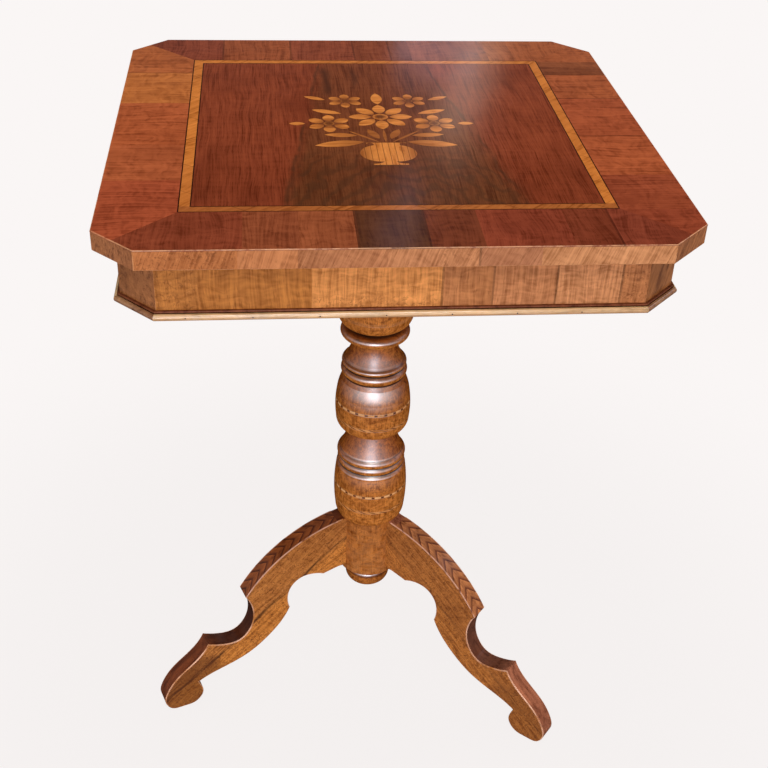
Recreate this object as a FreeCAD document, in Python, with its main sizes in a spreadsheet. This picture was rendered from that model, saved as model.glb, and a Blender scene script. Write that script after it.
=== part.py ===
"""Pedestal table: inlaid square top with canted corners, beaded frieze, turned column and scrolled legs.

The frame is in millimetres with +Z up, and its origin is on the floor under the column's axis.
The front looks along -Y.
"""
import FreeCAD, Part
import math
import os
import re

import Sketcher
from FreeCAD import Placement, Rotation, Vector

SIZES = {
    # Top
    "table_height": 753.0,
    "top_width": 550.0,
    "top_thickness": 19.3,
    "top_corner_cut": 39.2,
    "face_veneer": 1.2,
    "edge_veneer": 1.6,
    "border_width": 73.0,
    "line_width": 1.2,
    "band_width": 9.6,
    # Inlay in the middle of the top
    "motif_size": 205.0,
    # Frieze under the slab
    "top_overhang": 19.1,
    "frieze_corner_cut": 33.8,
    "frieze_height": 58.8,
    "frieze_veneer": 1.4,
    "rail_thickness": 20.0,
    "block_length": 60.0,
    "block_width": 18.0,
    "block_offset": 122.0,
    # Bead along the lower edge of the frieze
    "bead_height": 9.0,
    "bead_depth": 6.0,
    "round_height": 6.6,
    "quirk_height": 0.8,
    "quirk_depth": 1.2,
    "fillet_depth": 2.8,
    "pin_radius": 0.75,
    "pin_bite": 7.0,
    "pin_recess": 0.5,
    "pin_inset": 26.0,
    "pin_pitch": 59.7,
    # Bearer and its screws
    "bearer_width": 104.0,
    "bearer_thickness": 32.0,
    "screw_head_radius": 4.6,
    "screw_head_height": 3.2,
    "screw_radius": 2.3,
    "screw_bite": 11.0,
    "screw_inset": 26.0,
    "screw_spread": 150.0,
    "slot_width": 1.2,
    "slot_depth": 1.4,
    # Column
    "column_radius": 45.0,
    "hub_radius": 37.5,
    "hub_bottom": 158.0,
    "hub_height": 84.0,
    "hub_chamfer": 1.2,
    "capital_radius": 58.0,
    "tenon_radius": 19.0,
    "tenon_gap": 0.5,
    "tenon_clearance": 0.1,
    "wedge_top_width": 4.0,
    "wedge_tip_width": 1.6,
    "wedge_height": 22.0,
    "string_width": 2.4,
    "string_depth": 3.0,
    # Finial under the hub
    "finial_radius": 28.0,
    "finial_height": 33.0,
    "spigot_radius": 9.0,
    "spigot_length": 18.0,
    "spigot_clearance": 0.15,
    # Legs
    "leg_reach": 285.0,
    "leg_rise": 235.0,
    "leg_thickness": 23.0,
    "leg_tenon_depth": 20.0,
    "leg_tenon_width": 11.0,
    "leg_tenon_root": 8.0,
    "knee_inlay": 1.3,
    "knee_inlay_start": 48.5,
    "chevron_step": 7.4,
    # One overrun serves all cuts
    "cut_overrun": 1.0,
}

SIDES = ("front", "right", "back", "left")
LEG_NAMES = ("rear", "left", "right")
QUARTER_TURN = 90.0
CORNER_TURN = QUARTER_TURN / 2
LEG_TURN = 79.9
LEG_STEP_TURN = 4 * QUARTER_TURN / len(LEG_NAMES)
CHEVRON_SLOPE = 1.15
QUARTER_ROUND_SHARE = 0.293

SLAB_BOTTOM = "(table_height - top_thickness)"
VENEER_BOTTOM = "(table_height - face_veneer)"
FRIEZE_BOTTOM = "(table_height - top_thickness - frieze_height)"
BEARER_BOTTOM = "(table_height - top_thickness - bearer_thickness)"
HUB_TOP = "(hub_bottom + hub_height)"
TURNED_HEIGHT = f"({BEARER_BOTTOM} - {HUB_TOP})"
FRIEZE_WIDTH = "(top_width - 2 * top_overhang)"
RAIL_INNER = f"({FRIEZE_WIDTH} / 2 - frieze_veneer - rail_thickness)"
MITRE = "tan(22.5)"

# Turned outline: shares of the column's radius and of the height from the hub to the bearer.
# Two numbers end a straight stretch; four are a point on an arc and the arc's end.
BARREL_SHARES = (
    (0.867, 0.001), (0.927, 0.011, 0.960, 0.026), (1.000, 0.088, 0.947, 0.159),
    (0.929, 0.166, 0.884, 0.170), (0.867, 0.172), (0.916, 0.182, 0.867, 0.192), (0.862, 0.193),
    (0.871, 0.194), (0.927, 0.204, 0.880, 0.214), (0.856, 0.216), (0.729, 0.243, 0.596, 0.279),
)
EGG_SHARES = (
    (0.604, 0.000), (0.689, 0.001), (0.878, 0.011, 0.978, 0.036), (1.000, 0.066, 0.962, 0.116),
    (0.907, 0.141, 0.804, 0.165), (0.784, 0.168), (0.807, 0.171), (0.867, 0.182, 0.807, 0.193),
    (0.778, 0.196), (0.800, 0.199), (0.844, 0.205, 0.800, 0.211), (0.778, 0.213),
    (0.644, 0.237, 0.556, 0.270), (0.556, 0.279), (0.762, 0.281), (0.896, 0.294, 0.762, 0.306),
    (0.600, 0.312),
)
EGG_START_SHARES = (0.281, 0.595)
CAPITAL_SHARES = ((0.600, 0.909), (0.722, 0.955, 1.180, 0.976))
RIM_SHARES = (0.976, 0.988, 1.0)
STRING_LEVEL_SHARES = (0.055, 0.107, 0.325, 0.373, 0.638, 0.687)
FINIAL_SHARES = (
    (0.960, 0.000), (1.000, -0.080, 0.960, -0.160), (0.900, -0.180), (0.900, -0.220),
    (0.975, -0.300, 1.000, -0.460), (0.889, -0.807, 0.620, -0.950), (0.000, -1.000),
)

# Leg outline: shares of the reach from the hub's wall to the toe, and of the leg's rise above the floor.
KNEE_SHARES = ((-0.024, 1.040), (0.289, 0.929), (0.544, 0.670))
LEG_RUN_SHARES = (
    ((0.544, 0.670), (0.508, 0.557), (0.522, 0.451), (0.586, 0.377), (0.671, 0.377), (0.755, 0.410)),
    (
        (0.755, 0.410), (0.831, 0.309), (0.936, 0.215), (0.986, 0.136), (1.000, 0.077), (0.980, 0.023),
        (0.932, 0.0),
    ),
    ((0.932, 0.0), (0.876, 0.0)),
    ((0.876, 0.0), (0.823, 0.019), (0.795, 0.068), (0.801, 0.115), (0.815, 0.153)),
    (
        (0.815, 0.153), (0.739, 0.187), (0.639, 0.217), (0.534, 0.260), (0.442, 0.328), (0.365, 0.409),
        (0.307, 0.509),
    ),
    ((0.307, 0.509), (0.317, 0.570), (0.301, 0.647), (0.249, 0.698), (0.193, 0.706), (0.120, 0.683)),
    ((0.120, 0.683), (0.080, 0.694), (0.032, 0.706), (-0.024, 0.715)),
    ((-0.024, 0.715), (-0.024, 1.040)),
)
LEG_TENON_SHARES = (0.745, 0.960)

# Inlay in the field: an urn with flowers, in shares of the inlay's size from the middle of the top.
# Flowers: across, along and radius, with the number of petals.
# Stems and leaves: across, along, length and width, with a heading.
FLOWER_SHARES = ((0.0, 0.12, 0.165, 8), (0.27, 0.03, 0.115, 6), (0.17, 0.345, 0.095, 6))
HEART_SHARE = 0.24
PETAL_START_SHARE = 0.28
PETAL_WIDTH_SHARES = {8: 0.40, 6: 0.52}
STEM_SHARES = ((0.0, -0.216, 0.165, 0.016, 90.0), (0.03, -0.216, 0.215, 0.016, 45.0))
LEAF_SHARES = (
    (0.0, 0.295, 0.160, 0.060, 90.0), (0.106, -0.210, 0.250, 0.075, -10.0),
    (0.030, -0.170, 0.130, 0.045, 68.0), (0.136, -0.128, 0.165, 0.050, 4.0),
    (0.200, 0.165, 0.160, 0.050, 20.0), (0.392, 0.030, 0.080, 0.040, 0.0), (0.275, 0.360, 0.120, 0.040, 25.0),
)
URN_SHARES = (
    (0.085, -0.490), (0.085, -0.475), (0.050, -0.470, 0.028, -0.450), (0.135, -0.375, 0.070, -0.255),
    (0.064, -0.243, 0.100, -0.235), (0.100, -0.221),
)

doc = FreeCAD.newDocument("pedestal_table")
sheet = doc.addObject("Spreadsheet::Sheet", "sizes")
for row, (word, number) in enumerate(SIZES.items(), 1):
    sheet.set(f"A{row}", word)
    sheet.set(f"B{row}", str(number))
    sheet.setAlias(f"B{row}", word)
doc.recompute()


def bound(text):
    """Point every size word of an expression at the sheet."""
    return re.sub(r"\b[a-z]+(_[a-z]+)+\b", r"sizes.\g<0>", text)


def size(text):
    """Return the number that an expression in size words comes to."""
    return float(sheet.evalExpression(bound(text)))


def turn_about_column(degrees):
    """Return a turn about the column's axis."""
    return Placement(Vector(), Rotation(Vector(0, 0, 1), degrees))


def draw(sketch, outline):
    """Draw a closed outline whose points are tied to the sheet.

    Each entry is the end of a straight stretch, or a point on an arc and that arc's end.
    """
    ends = [Vector(size(entry[-2]), size(entry[-1]), 0) for entry in outline]
    tied = []
    joints = []
    rules = []
    for index, entry in enumerate(outline):
        start, end = ends[index - 1], ends[index]
        if len(entry) == 2:
            edge = sketch.addGeometry(Part.LineSegment(start, end), False)
            joints.append((edge, 1, 2))
        else:
            via = Vector(size(entry[0]), size(entry[1]), 0)
            edge = sketch.addGeometry(Part.Arc(start, via, end), False)
            first, second = sketch.getPoint(edge, 1), sketch.getPoint(edge, 2)
            forward = first.distanceToPoint(start) < second.distanceToPoint(start)
            joints.append((edge, 1, 2) if forward else (edge, 2, 1))
            mark = sketch.addGeometry(Part.Point(via), True)
            tied.append((mark, 1, entry[0], entry[1], via))
            rules.append(Sketcher.Constraint("PointOnObject", mark, 1, edge))
        tied.append((edge, joints[-1][2], entry[-2], entry[-1], end))
    for index, (edge, start_point, _) in enumerate(joints):
        before, _, end_point = joints[index - 1]
        rules.append(Sketcher.Constraint("Coincident", before, end_point, edge, start_point))
    bonds = {}
    for edge, point, across, up, place in tied:
        ways = (("DistanceX", across, place.x, -2), ("DistanceY", up, place.y, -1))
        for kind, text, number, axis in ways:
            if text == "0":
                rules.append(Sketcher.Constraint("PointOnObject", edge, point, axis))
            else:
                bonds[len(rules)] = text
                rules.append(Sketcher.Constraint(kind, -1, 1, edge, point, number))
    sketch.addConstraint(rules)
    for number, text in bonds.items():
        sketch.setExpression(f"Constraints[{number}]", bound(text))


def sketch_in(body, role, outline):
    """Add a sketch on one of the body's origin planes."""
    sketch = body.newObject("Sketcher::SketchObject", f"{body.Name}_outline")
    plane = next(feature for feature in body.Origin.OriginFeatures if feature.Role == role)
    sketch.AttachmentSupport = (plane, [""])
    sketch.MapMode = "FlatFace"
    draw(sketch, outline)
    return sketch


def plate(label, outline, level, thickness, turn=0.0):
    """Make a board from an outline seen from above, its underside at the given level."""
    body = doc.addObject("PartDesign::Body", label)
    pad = body.newObject("PartDesign::Pad", f"{label}_pad")
    pad.Profile = sketch_in(body, "XY_Plane", outline)
    pad.setExpression("Length", bound(thickness))
    body.Placement = turn_about_column(turn)
    body.setExpression("Placement.Base.z", bound(level))
    return body


def turning(label, outline):
    """Make a turned piece from half its section."""
    body = doc.addObject("PartDesign::Body", label)
    revolution = body.newObject("PartDesign::Revolution", f"{label}_turning")
    sketch = sketch_in(body, "XZ_Plane", outline)
    revolution.Profile = sketch
    revolution.ReferenceAxis = (sketch, ["V_Axis"])
    revolution.Angle = 360.0
    return body


def placed(body, across, along, level):
    """Move a body to a place tied to the sheet."""
    for axis, text in (("x", across), ("y", along), ("z", level)):
        body.setExpression(f"Placement.Base.{axis}", bound(text))
    return body


def cut(label, base, tool):
    """Cut a tool out of a base."""
    result = doc.addObject("Part::Cut", label)
    result.Base = base
    result.Tool = tool
    return result


def common(label, base, tool):
    """Keep what two solids share."""
    result = doc.addObject("Part::Common", label)
    result.Base = base
    result.Tool = tool
    return result


def fused(label, base, tool):
    """Join two solids into one piece."""
    result = doc.addObject("Part::Fuse", label)
    result.Base = base
    result.Tool = tool
    return result


def group(label, members):
    """Keep separate solids together under one label."""
    result = doc.addObject("Part::Compound", label)
    result.Links = members
    return result


def rectangle(left, right, near, far):
    """Return a rectangle's outline."""
    return [(left, near), (right, near), (right, far), (left, far)]


def side_outline(width, cut_length, inset, thickness):
    """Return a mitred strip along the front of a canted square, its face set in from the square's edge."""
    face = f"({width} / 2 - ({inset}))"
    reach = f"({width} / 2 - {cut_length} - ({inset}) * {MITRE})"
    inner = f"({reach} - ({thickness}) * {MITRE})"
    back = f"-({face} - ({thickness}))"
    return [(f"-{reach}", f"-{face}"), (reach, f"-{face}"), (inner, back), (f"-{inner}", back)]


def corner_outline(width, cut_length, inset, thickness):
    """Return the mitred strip along a canted corner, turned so that its face looks to the front."""
    face = f"(({width} - {cut_length}) / sqrt(2) - ({inset}))"
    reach = f"({cut_length} / sqrt(2) - ({inset}) * {MITRE})"
    inner = f"({reach} - ({thickness}) * {MITRE})"
    back = f"-({face} - ({thickness}))"
    return [(f"-{reach}", f"-{face}"), (reach, f"-{face}"), (inner, back), (f"-{inner}", back)]


def canted_square(width, cut_length, inset):
    """Return the octagon that a canted square makes, set in from its edges."""
    half = f"({width} / 2 - ({inset}))"
    side = f"({width} / 2 - {cut_length} - ({inset}) * {MITRE})"
    return [
        (f"-{side}", f"-{half}"), (side, f"-{half}"), (half, f"-{side}"), (half, side),
        (side, half), (f"-{side}", half), (f"-{half}", side), (f"-{half}", f"-{side}"),
    ]


def frame_strip(outer, width):
    """Return the front strip of a mitred square frame, from its outer half width."""
    inner = f"({outer} - {width})"
    return [
        (f"-{outer}", f"-{outer}"), (outer, f"-{outer}"),
        (inner, f"-{inner}"), (f"-{inner}", f"-{inner}"),
    ]


def lens(label, shares, heading):
    """Make a leaf of two arcs along a heading, from its place, length and width in shares of the inlay."""
    across, along, length, width = shares
    radius = (length**2 + width**2) / (4 * width)
    ahead, aside = math.cos(math.radians(heading)), math.sin(math.radians(heading))
    halves = []
    for offset in (radius - width / 2, width / 2 - radius):
        right = across + length / 2 * ahead - offset * aside
        back = along + length / 2 * aside + offset * ahead
        halves.append(disc(f"{label}_arc", right, back, radius))
    return common(label, *halves)


def disc(label, across, along, radius):
    """Make a round piece of inlay from its place and radius in shares of the inlay."""
    cylinder = doc.addObject("Part::Cylinder", label)
    cylinder.setExpression("Radius", bound(f"motif_size * {radius}"))
    cylinder.setExpression("Height", bound("face_veneer"))
    return placed(cylinder, f"motif_size * {across}", f"motif_size * {along}", VENEER_BOTTOM)


def urn_outline():
    """Return the urn's outline, both halves."""
    right = [tuple(f"motif_size * {share}" for share in entry) for entry in URN_SHARES]
    left = []
    for number in range(len(URN_SHARES) - 1, -1, -1):
        end = URN_SHARES[number][-2:]
        above = URN_SHARES[number + 1] if number + 1 < len(URN_SHARES) else end
        via = above[:2] if len(above) == 4 else ()
        left.append(tuple(f"motif_size * {share}" for share in (*mirrored(via), *mirrored(end))))
    return right + left


def mirrored(point):
    """Return a point's shares on the other side of the middle line."""
    return tuple(-share if index == 0 else share for index, share in enumerate(point))


def motif():
    """Make the pale inlay: an urn with five flowers, their stems and leaves."""
    petals = []
    hearts = []
    leaves = []
    for side in (1, -1):
        for across, along, radius, count in FLOWER_SHARES:
            if side < 0 and across == 0.0:
                continue
            hearts.append(disc("flower_heart", side * across, along, radius * HEART_SHARE))
            for number in range(count):
                heading = 90.0 + number * 360.0 / count
                start = radius * PETAL_START_SHARE
                base = (side * across + start * math.cos(math.radians(heading)),
                        along + start * math.sin(math.radians(heading)))
                shape = (*base, radius - start, radius * PETAL_WIDTH_SHARES[count])
                petals.append(lens("flower_petal", shape, heading))
        for across, along, length, width, heading in STEM_SHARES + LEAF_SHARES:
            if side < 0 and across == 0.0:
                continue
            turned = heading if side > 0 else 180.0 - heading
            leaves.append(lens("spray_leaf", (side * across, along, length, width), turned))
    return [
        plate("motif_urn", urn_outline(), VENEER_BOTTOM, "face_veneer"),
        group("motif_petals", petals),
        group("motif_hearts", hearts),
        group("motif_leaves", leaves),
    ]


def screws():
    """Make the four countersunk screws of the bearer, and the same screws without slots for the holes."""
    length = "(bearer_thickness + screw_bite)"
    outline = [
        ("0", "0"), ("screw_head_radius", "0"), ("screw_radius", "screw_head_height"),
        ("screw_radius", f"{length} - 2 * screw_radius"), ("0", length),
    ]
    slot = rectangle("-screw_head_radius", "screw_head_radius", "-slot_width / 2", "slot_width / 2")
    plain = []
    slotted = []
    for across in ("screw_spread", "-screw_spread"):
        for along in ("(bearer_width / 2 - screw_inset)", "-(bearer_width / 2 - screw_inset)"):
            number = len(plain)
            blank = placed(turning(f"screw_{number}_blank", outline), across, along, BEARER_BOTTOM)
            slit = plate(f"screw_{number}_slot", slot, "0", "slot_depth")
            placed(slit, across, along, BEARER_BOTTOM)
            plain.append(blank)
            slotted.append(cut(f"screw_{number}", blank, slit))
    return group("screw_blanks", plain), group("bearer_screws", slotted)


def top_pieces(screw_blanks):
    """Make the slab: core, lippings, border, stringing, field and inlay."""
    board = plate("core_board", canted_square("top_width", "top_corner_cut", "edge_veneer"), SLAB_BOTTOM,
                  "top_thickness - face_veneer")
    pieces = [cut("top_core", board, screw_blanks)]
    lippings = []
    corner_lippings = []
    half = "(top_width / 2)"
    string_outer = f"({half} - border_width)"
    band_outer = f"({string_outer} - line_width)"
    line_outer = f"({band_outer} - band_width)"
    field_half = f"({line_outer} - line_width)"
    shoulder = f"({half} - top_corner_cut)"
    cant_middle = f"({half} - top_corner_cut / 2)"
    border = [
        (f"-{shoulder}", f"-{half}"), (shoulder, f"-{half}"), (cant_middle, f"-{cant_middle}"),
        (string_outer, f"-{string_outer}"), (f"-{string_outer}", f"-{string_outer}"),
        (f"-{cant_middle}", f"-{cant_middle}"),
    ]
    strips = {"line_outer": [], "band_pale": [], "line_inner": []}
    frames = {
        "line_outer": frame_strip(string_outer, "line_width"),
        "band_pale": frame_strip(band_outer, "band_width"),
        "line_inner": frame_strip(line_outer, "line_width"),
    }
    for index, side in enumerate(SIDES):
        turn = index * QUARTER_TURN
        height = "top_thickness - face_veneer"
        edge = side_outline("top_width", "top_corner_cut", "0", "edge_veneer")
        lippings.append(plate(f"lipping_{side}", edge, SLAB_BOTTOM, height, turn))
        cant = corner_outline("top_width", "top_corner_cut", "0", "edge_veneer")
        lipping = plate(f"corner_lipping_{index}", cant, SLAB_BOTTOM, height, turn + CORNER_TURN)
        corner_lippings.append(lipping)
        pieces.append(plate(f"border_{side}", border, VENEER_BOTTOM, "face_veneer", turn))
        for name, outline in frames.items():
            strips[name].append(plate(f"{name}_{side}", outline, VENEER_BOTTOM, "face_veneer", turn))
    pieces.append(group("edge_sides", lippings))
    pieces.append(group("edge_corners", corner_lippings))
    pieces.extend(group(name, members) for name, members in strips.items())
    inlay = motif()
    field = rectangle(f"-{field_half}", field_half, f"-{field_half}", field_half)
    sheet_of_veneer = plate("field_sheet", field, VENEER_BOTTOM, "face_veneer")
    pieces.append(cut("field_veneer", sheet_of_veneer, group("motif_cutter", inlay)))
    return pieces + inlay


def bead_section(face):
    """Return the bead's section outside a face: half round, quirk and fillet from the bottom up."""
    radius = "(round_height / 2)"
    crest = "(round_height + quirk_height)"
    step = "((bead_height - round_height - quirk_height) / 2)"
    shoulder = f"{QUARTER_ROUND_SHARE} * {step}"
    return [
        (f"-{face}", "0"),
        (f"-{face}", "bead_height"),
        (f"-({face} + fillet_depth - {step})", "bead_height"),
        (f"-({face} + fillet_depth - {shoulder})", f"bead_height - {shoulder}",
         f"-({face} + fillet_depth)", f"bead_height - {step}"),
        (f"-({face} + fillet_depth)", crest),
        (f"-({face} + quirk_depth)", crest),
        (f"-({face} + quirk_depth)", "round_height"),
        (f"-({face} + bead_depth - {radius})", "round_height"),
        (f"-({face} + bead_depth)", radius, f"-({face} + bead_depth - {radius})", "0"),
    ]


def bead_strip(label, face, mitred, turn):
    """Make one length of bead with mitred ends."""
    body = doc.addObject("PartDesign::Body", f"{label}_length")
    pad = body.newObject("PartDesign::Pad", f"{label}_pad")
    pad.Profile = sketch_in(body, "YZ_Plane", bead_section(face))
    pad.SideType = "Symmetric"
    pad.setExpression("Length", bound(FRIEZE_WIDTH))
    body.Placement = turn_about_column(turn)
    body.setExpression("Placement.Base.z", bound(FRIEZE_BOTTOM))
    prism = plate(f"{label}_mitres", mitred, FRIEZE_BOTTOM, "bead_height", turn)
    return common(f"{label}_strip", body, prism)


def pin(label, face, across, turn, start):
    """Make a pin, or its bore, driven square into a face at a place along it."""
    depth = f"({start} + pin_bite + frieze_veneer)"
    cylinder = doc.addObject("Part::Cylinder", label)
    cylinder.setExpression("Radius", bound("pin_radius"))
    cylinder.setExpression("Height", bound(depth))
    sideways = Rotation(Vector(0, 0, 1), turn) * Rotation(Vector(1, 0, 0), -QUARTER_TURN)
    cylinder.Placement = Placement(Vector(), sideways)
    heading = math.radians(turn)
    out = f"-({face} + {start})"
    return placed(
        cylinder,
        f"({across}) * {math.cos(heading)} - ({out}) * {math.sin(heading)}",
        f"({across}) * {math.sin(heading)} + ({out}) * {math.cos(heading)}",
        f"{FRIEZE_BOTTOM} + round_height / 2",
    )


def frieze_pieces():
    """Make the rails, corner blocks, face veneers, bead and pins."""
    width, corner = FRIEZE_WIDTH, "frieze_corner_cut"
    face = f"({width} / 2)"
    corner_face = f"(({width} - {corner}) / sqrt(2))"
    reach = f"({width} / 2 - {corner})"
    pin_count = int((2 * size(reach) - 2 * size("pin_inset")) / size("pin_pitch")) + 1
    side_places = [f"-{reach} + pin_inset + {number} * pin_pitch" for number in range(pin_count)]
    shapes = (
        ("", side_outline, face, side_places, 0.0),
        ("corner_", corner_outline, corner_face, ["0"], CORNER_TURN),
    )
    pieces = []
    pins = []
    corners = {"rail": [], "frieze": [], "bead": []}
    for index, side in enumerate(SIDES):
        for prefix, outline, distance, places, extra in shapes:
            turn = index * QUARTER_TURN + extra
            tag = f"{prefix}{side}"
            bores = []
            for number, place in enumerate(places):
                pins.append(pin(f"pin_{tag}_{number}", distance, place, turn, "(bead_depth - pin_recess)"))
                bores.append(pin(f"bore_{tag}_{number}", distance, place, turn, "(bead_depth + cut_overrun)"))
            bore = group(f"bores_{tag}", bores)
            rail = outline(width, corner, "frieze_veneer", "rail_thickness")
            veneer = outline(width, corner, "0", "frieze_veneer")
            mitred = outline(width, corner, "-bead_depth", "bead_depth")
            blanks = {
                "rail": plate(f"rail_{tag}_blank", rail, FRIEZE_BOTTOM, "frieze_height", turn),
                "frieze": plate(f"frieze_{tag}_blank", veneer, FRIEZE_BOTTOM, "frieze_height", turn),
                "bead": bead_strip(f"bead_{tag}", distance, mitred, turn),
            }
            for name, blank in blanks.items():
                drilled = cut(f"{name}_{tag}", blank, bore)
                if prefix:
                    corners[name].append(drilled)
                else:
                    pieces.append(drilled)
    labels = {"rail": "corner_blocks", "frieze": "frieze_corners", "bead": "bead_corners"}
    pieces.extend(group(label, corners[name]) for name, label in labels.items())
    pieces.append(group("bead_pins", pins))
    return pieces


def glue_blocks():
    """Make the rubbed blocks in the angle between each rail and the slab."""
    blocks = []
    for index, side in enumerate(SIDES):
        for hand in ("", "-"):
            middle = f"{hand}block_offset"
            outline = rectangle(f"{middle} - block_length / 2", f"{middle} + block_length / 2",
                                f"-{RAIL_INNER}", f"-({RAIL_INNER} - block_width)")
            blocks.append(plate(f"block_{side}", outline, f"{SLAB_BOTTOM} - block_width", "block_width",
                                index * QUARTER_TURN))
    return group("glue_blocks", blocks)


def turned_level(share):
    """Return the level at a share of the column's turned height."""
    return f"({HUB_TOP} + {share} * {TURNED_HEIGHT})"


def turned_entry(shares, start=0.0):
    """Turn one entry of share pairs into an outline entry in sizes."""
    entry = []
    for index in range(0, len(shares), 2):
        entry.append(f"column_radius * {shares[index]}")
        entry.append(turned_level(round(start + shares[index + 1], 3)))
    return tuple(entry)


def column_outline():
    """Return half the column's section, from the spigot's bore up to the tenon's end."""
    bore_top = "(hub_bottom + spigot_length)"
    tenon_top = f"({SLAB_BOTTOM} - tenon_gap)"
    outline = [
        ("0", bore_top), ("spigot_radius", bore_top), ("spigot_radius", "hub_bottom"),
        ("hub_radius - hub_chamfer", "hub_bottom"), ("hub_radius", "hub_bottom + hub_chamfer"),
        ("hub_radius", f"{HUB_TOP} - hub_chamfer"), ("hub_radius - hub_chamfer", HUB_TOP),
    ]
    outline += [turned_entry(shares) for shares in BARREL_SHARES]
    for start in EGG_START_SHARES:
        outline += [turned_entry(shares, start) for shares in EGG_SHARES]
    outline += [turned_entry(shares) for shares in CAPITAL_SHARES]
    low, middle, high = (turned_level(share) for share in RIM_SHARES)
    rim = f"{TURNED_HEIGHT} * {RIM_SHARES[2] - RIM_SHARES[1]:.3f}"
    outline += [
        (f"capital_radius - {rim}", low),
        ("capital_radius", middle, f"capital_radius - {rim}", high),
        ("tenon_radius", BEARER_BOTTOM), ("tenon_radius", tenon_top), ("0", tenon_top),
    ]
    return outline


def pedestal_pieces():
    """Make the column with its inlaid rings and wedge, the legs with their knee inlay, and the finial."""
    blank = turning("column_blank", column_outline())
    rings = []
    for number, share in enumerate(STRING_LEVEL_SHARES):
        level = turned_level(share)
        section = rectangle("column_radius - string_depth", "column_radius + cut_overrun",
                            f"{level} - string_width / 2", f"{level} + string_width / 2")
        rings.append(turning(f"string_{number}_groove", section))
    strings = [common(f"string_{number}", blank, ring) for number, ring in enumerate(rings)]
    wedge_top = f"({SLAB_BOTTOM} - tenon_gap)"
    wedge_tip = f"({wedge_top} - wedge_height)"
    wedge_body = doc.addObject("PartDesign::Body", "wedge_blank")
    wedge_pad = wedge_body.newObject("PartDesign::Pad", "wedge_pad")
    wedge_pad.Profile = sketch_in(wedge_body, "XZ_Plane", [
        ("-wedge_tip_width / 2", wedge_tip), ("wedge_tip_width / 2", wedge_tip),
        ("wedge_top_width / 2", wedge_top), ("-wedge_top_width / 2", wedge_top),
    ])
    wedge_pad.SideType = "Symmetric"
    wedge_pad.setExpression("Length", bound("2 * (tenon_radius + cut_overrun)"))
    pieces = [group("bulb_strings", strings), common("tenon_wedge", blank, wedge_body)]
    tenons = []
    for index, name in enumerate(LEG_NAMES):
        turn = LEG_TURN + index * LEG_STEP_TURN
        outline = rectangle("hub_radius - leg_tenon_depth", "hub_radius + leg_tenon_root",
                            "-leg_tenon_width / 2", "leg_tenon_width / 2")
        low, high = LEG_TENON_SHARES
        height = f"leg_rise * {high - low:.3f}"
        tenon = plate(f"leg_{name}_tenon", outline, f"leg_rise * {low}", height, turn)
        scroll = doc.addObject("Part::Feature", f"leg_{name}_scroll")
        scroll.Shape = leg_shape()
        scroll.Placement = turn_about_column(turn)
        coped = cut(f"leg_{name}_coped", scroll, blank)
        pieces.append(fused(f"leg_{name}", coped, tenon))
        tenons.append(tenon)
        for tone, solids in zip(("pale", "dark"), chevrons()):
            inlay = doc.addObject("Part::Feature", f"knee_{tone}_{name}")
            inlay.Shape = Part.Compound(solids)
            inlay.Placement = turn_about_column(turn)
            pieces.append(inlay)
    pieces.append(cut("column", blank, group("column_cuts", rings + [wedge_body] + tenons)))
    fit = "(spigot_radius - spigot_clearance)"
    outline = [("0", "hub_bottom + spigot_length - spigot_clearance"),
               (fit, "hub_bottom + spigot_length - spigot_clearance"), (fit, "hub_bottom")]
    for shares in FINIAL_SHARES:
        entry = []
        for out, up in zip(shares[::2], shares[1::2]):
            entry.append(f"finial_radius * {out}" if out else "0")
            entry.append(f"hub_bottom + finial_height * {up}")
        outline.append(tuple(entry))
    pieces.append(turning("finial", outline))
    return pieces


def leg_point(share):
    """Return a point of the leg's outline from its shares, in the plane through the column's axis."""
    out, up = share
    hub = size("hub_radius")
    return Vector(hub + out * (size("leg_reach") - hub), 0, up * size("leg_rise"))


def knee_circle():
    """Return the circle that the top of the knee follows."""
    return Part.Circle(*(leg_point(share) for share in KNEE_SHARES))


def knee_point(radius, angle):
    """Return a point on a circle about the knee's centre."""
    return knee_circle().Center + Vector(radius * math.cos(angle), 0, radius * math.sin(angle))


def knee_angles():
    """Return where the knee's inlay starts and ends, as angles about the knee's centre."""
    centre, radius = knee_circle().Center, knee_circle().Radius
    end = leg_point(KNEE_SHARES[2]) - centre
    return math.acos((size("knee_inlay_start") - centre.x) / radius), math.atan2(end.z, end.x)


def knee_layer(side):
    """Return half of the knee's inlaid layer, on one side of the leg's middle plane."""
    outer = knee_circle().Radius
    inner = outer - size("knee_inlay")
    first, last = knee_angles()
    middle = (first + last) / 2
    edges = [
        Part.Arc(*(knee_point(outer, angle) for angle in (first, middle, last))).toShape(),
        Part.makeLine(knee_point(outer, last), knee_point(inner, last)),
        Part.Arc(*(knee_point(inner, angle) for angle in (last, middle, first))).toShape(),
        Part.makeLine(knee_point(inner, first), knee_point(outer, first)),
    ]
    return Part.Face(Part.Wire(edges)).extrude(Vector(0, side * size("leg_thickness / 2"), 0))


def leg_shape():
    """Return one leg without its tenon, pointing along +X, with the knee's inlay recessed.

    A curve that meets the floor meets it level.
    """
    edges = [Part.Arc(*(leg_point(share) for share in KNEE_SHARES)).toShape()]
    for run in LEG_RUN_SHARES:
        points = [leg_point(share) for share in run]
        if len(points) == 2:
            edges.append(Part.makeLine(*points))
        else:
            level = [point.z == 0 for point in points]
            curve = Part.BSplineCurve()
            curve.interpolate(Points=points, Tangents=[Vector(-1, 0, 0)] * len(points), TangentFlags=level)
            edges.append(curve.toShape())
    thickness = size("leg_thickness")
    face = Part.Face(Part.Wire(Part.__sortEdges__(edges)))
    face.translate(Vector(0, -thickness / 2, 0))
    return face.extrude(Vector(0, thickness, 0)).cut([knee_layer(1), knee_layer(-1)])


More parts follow.
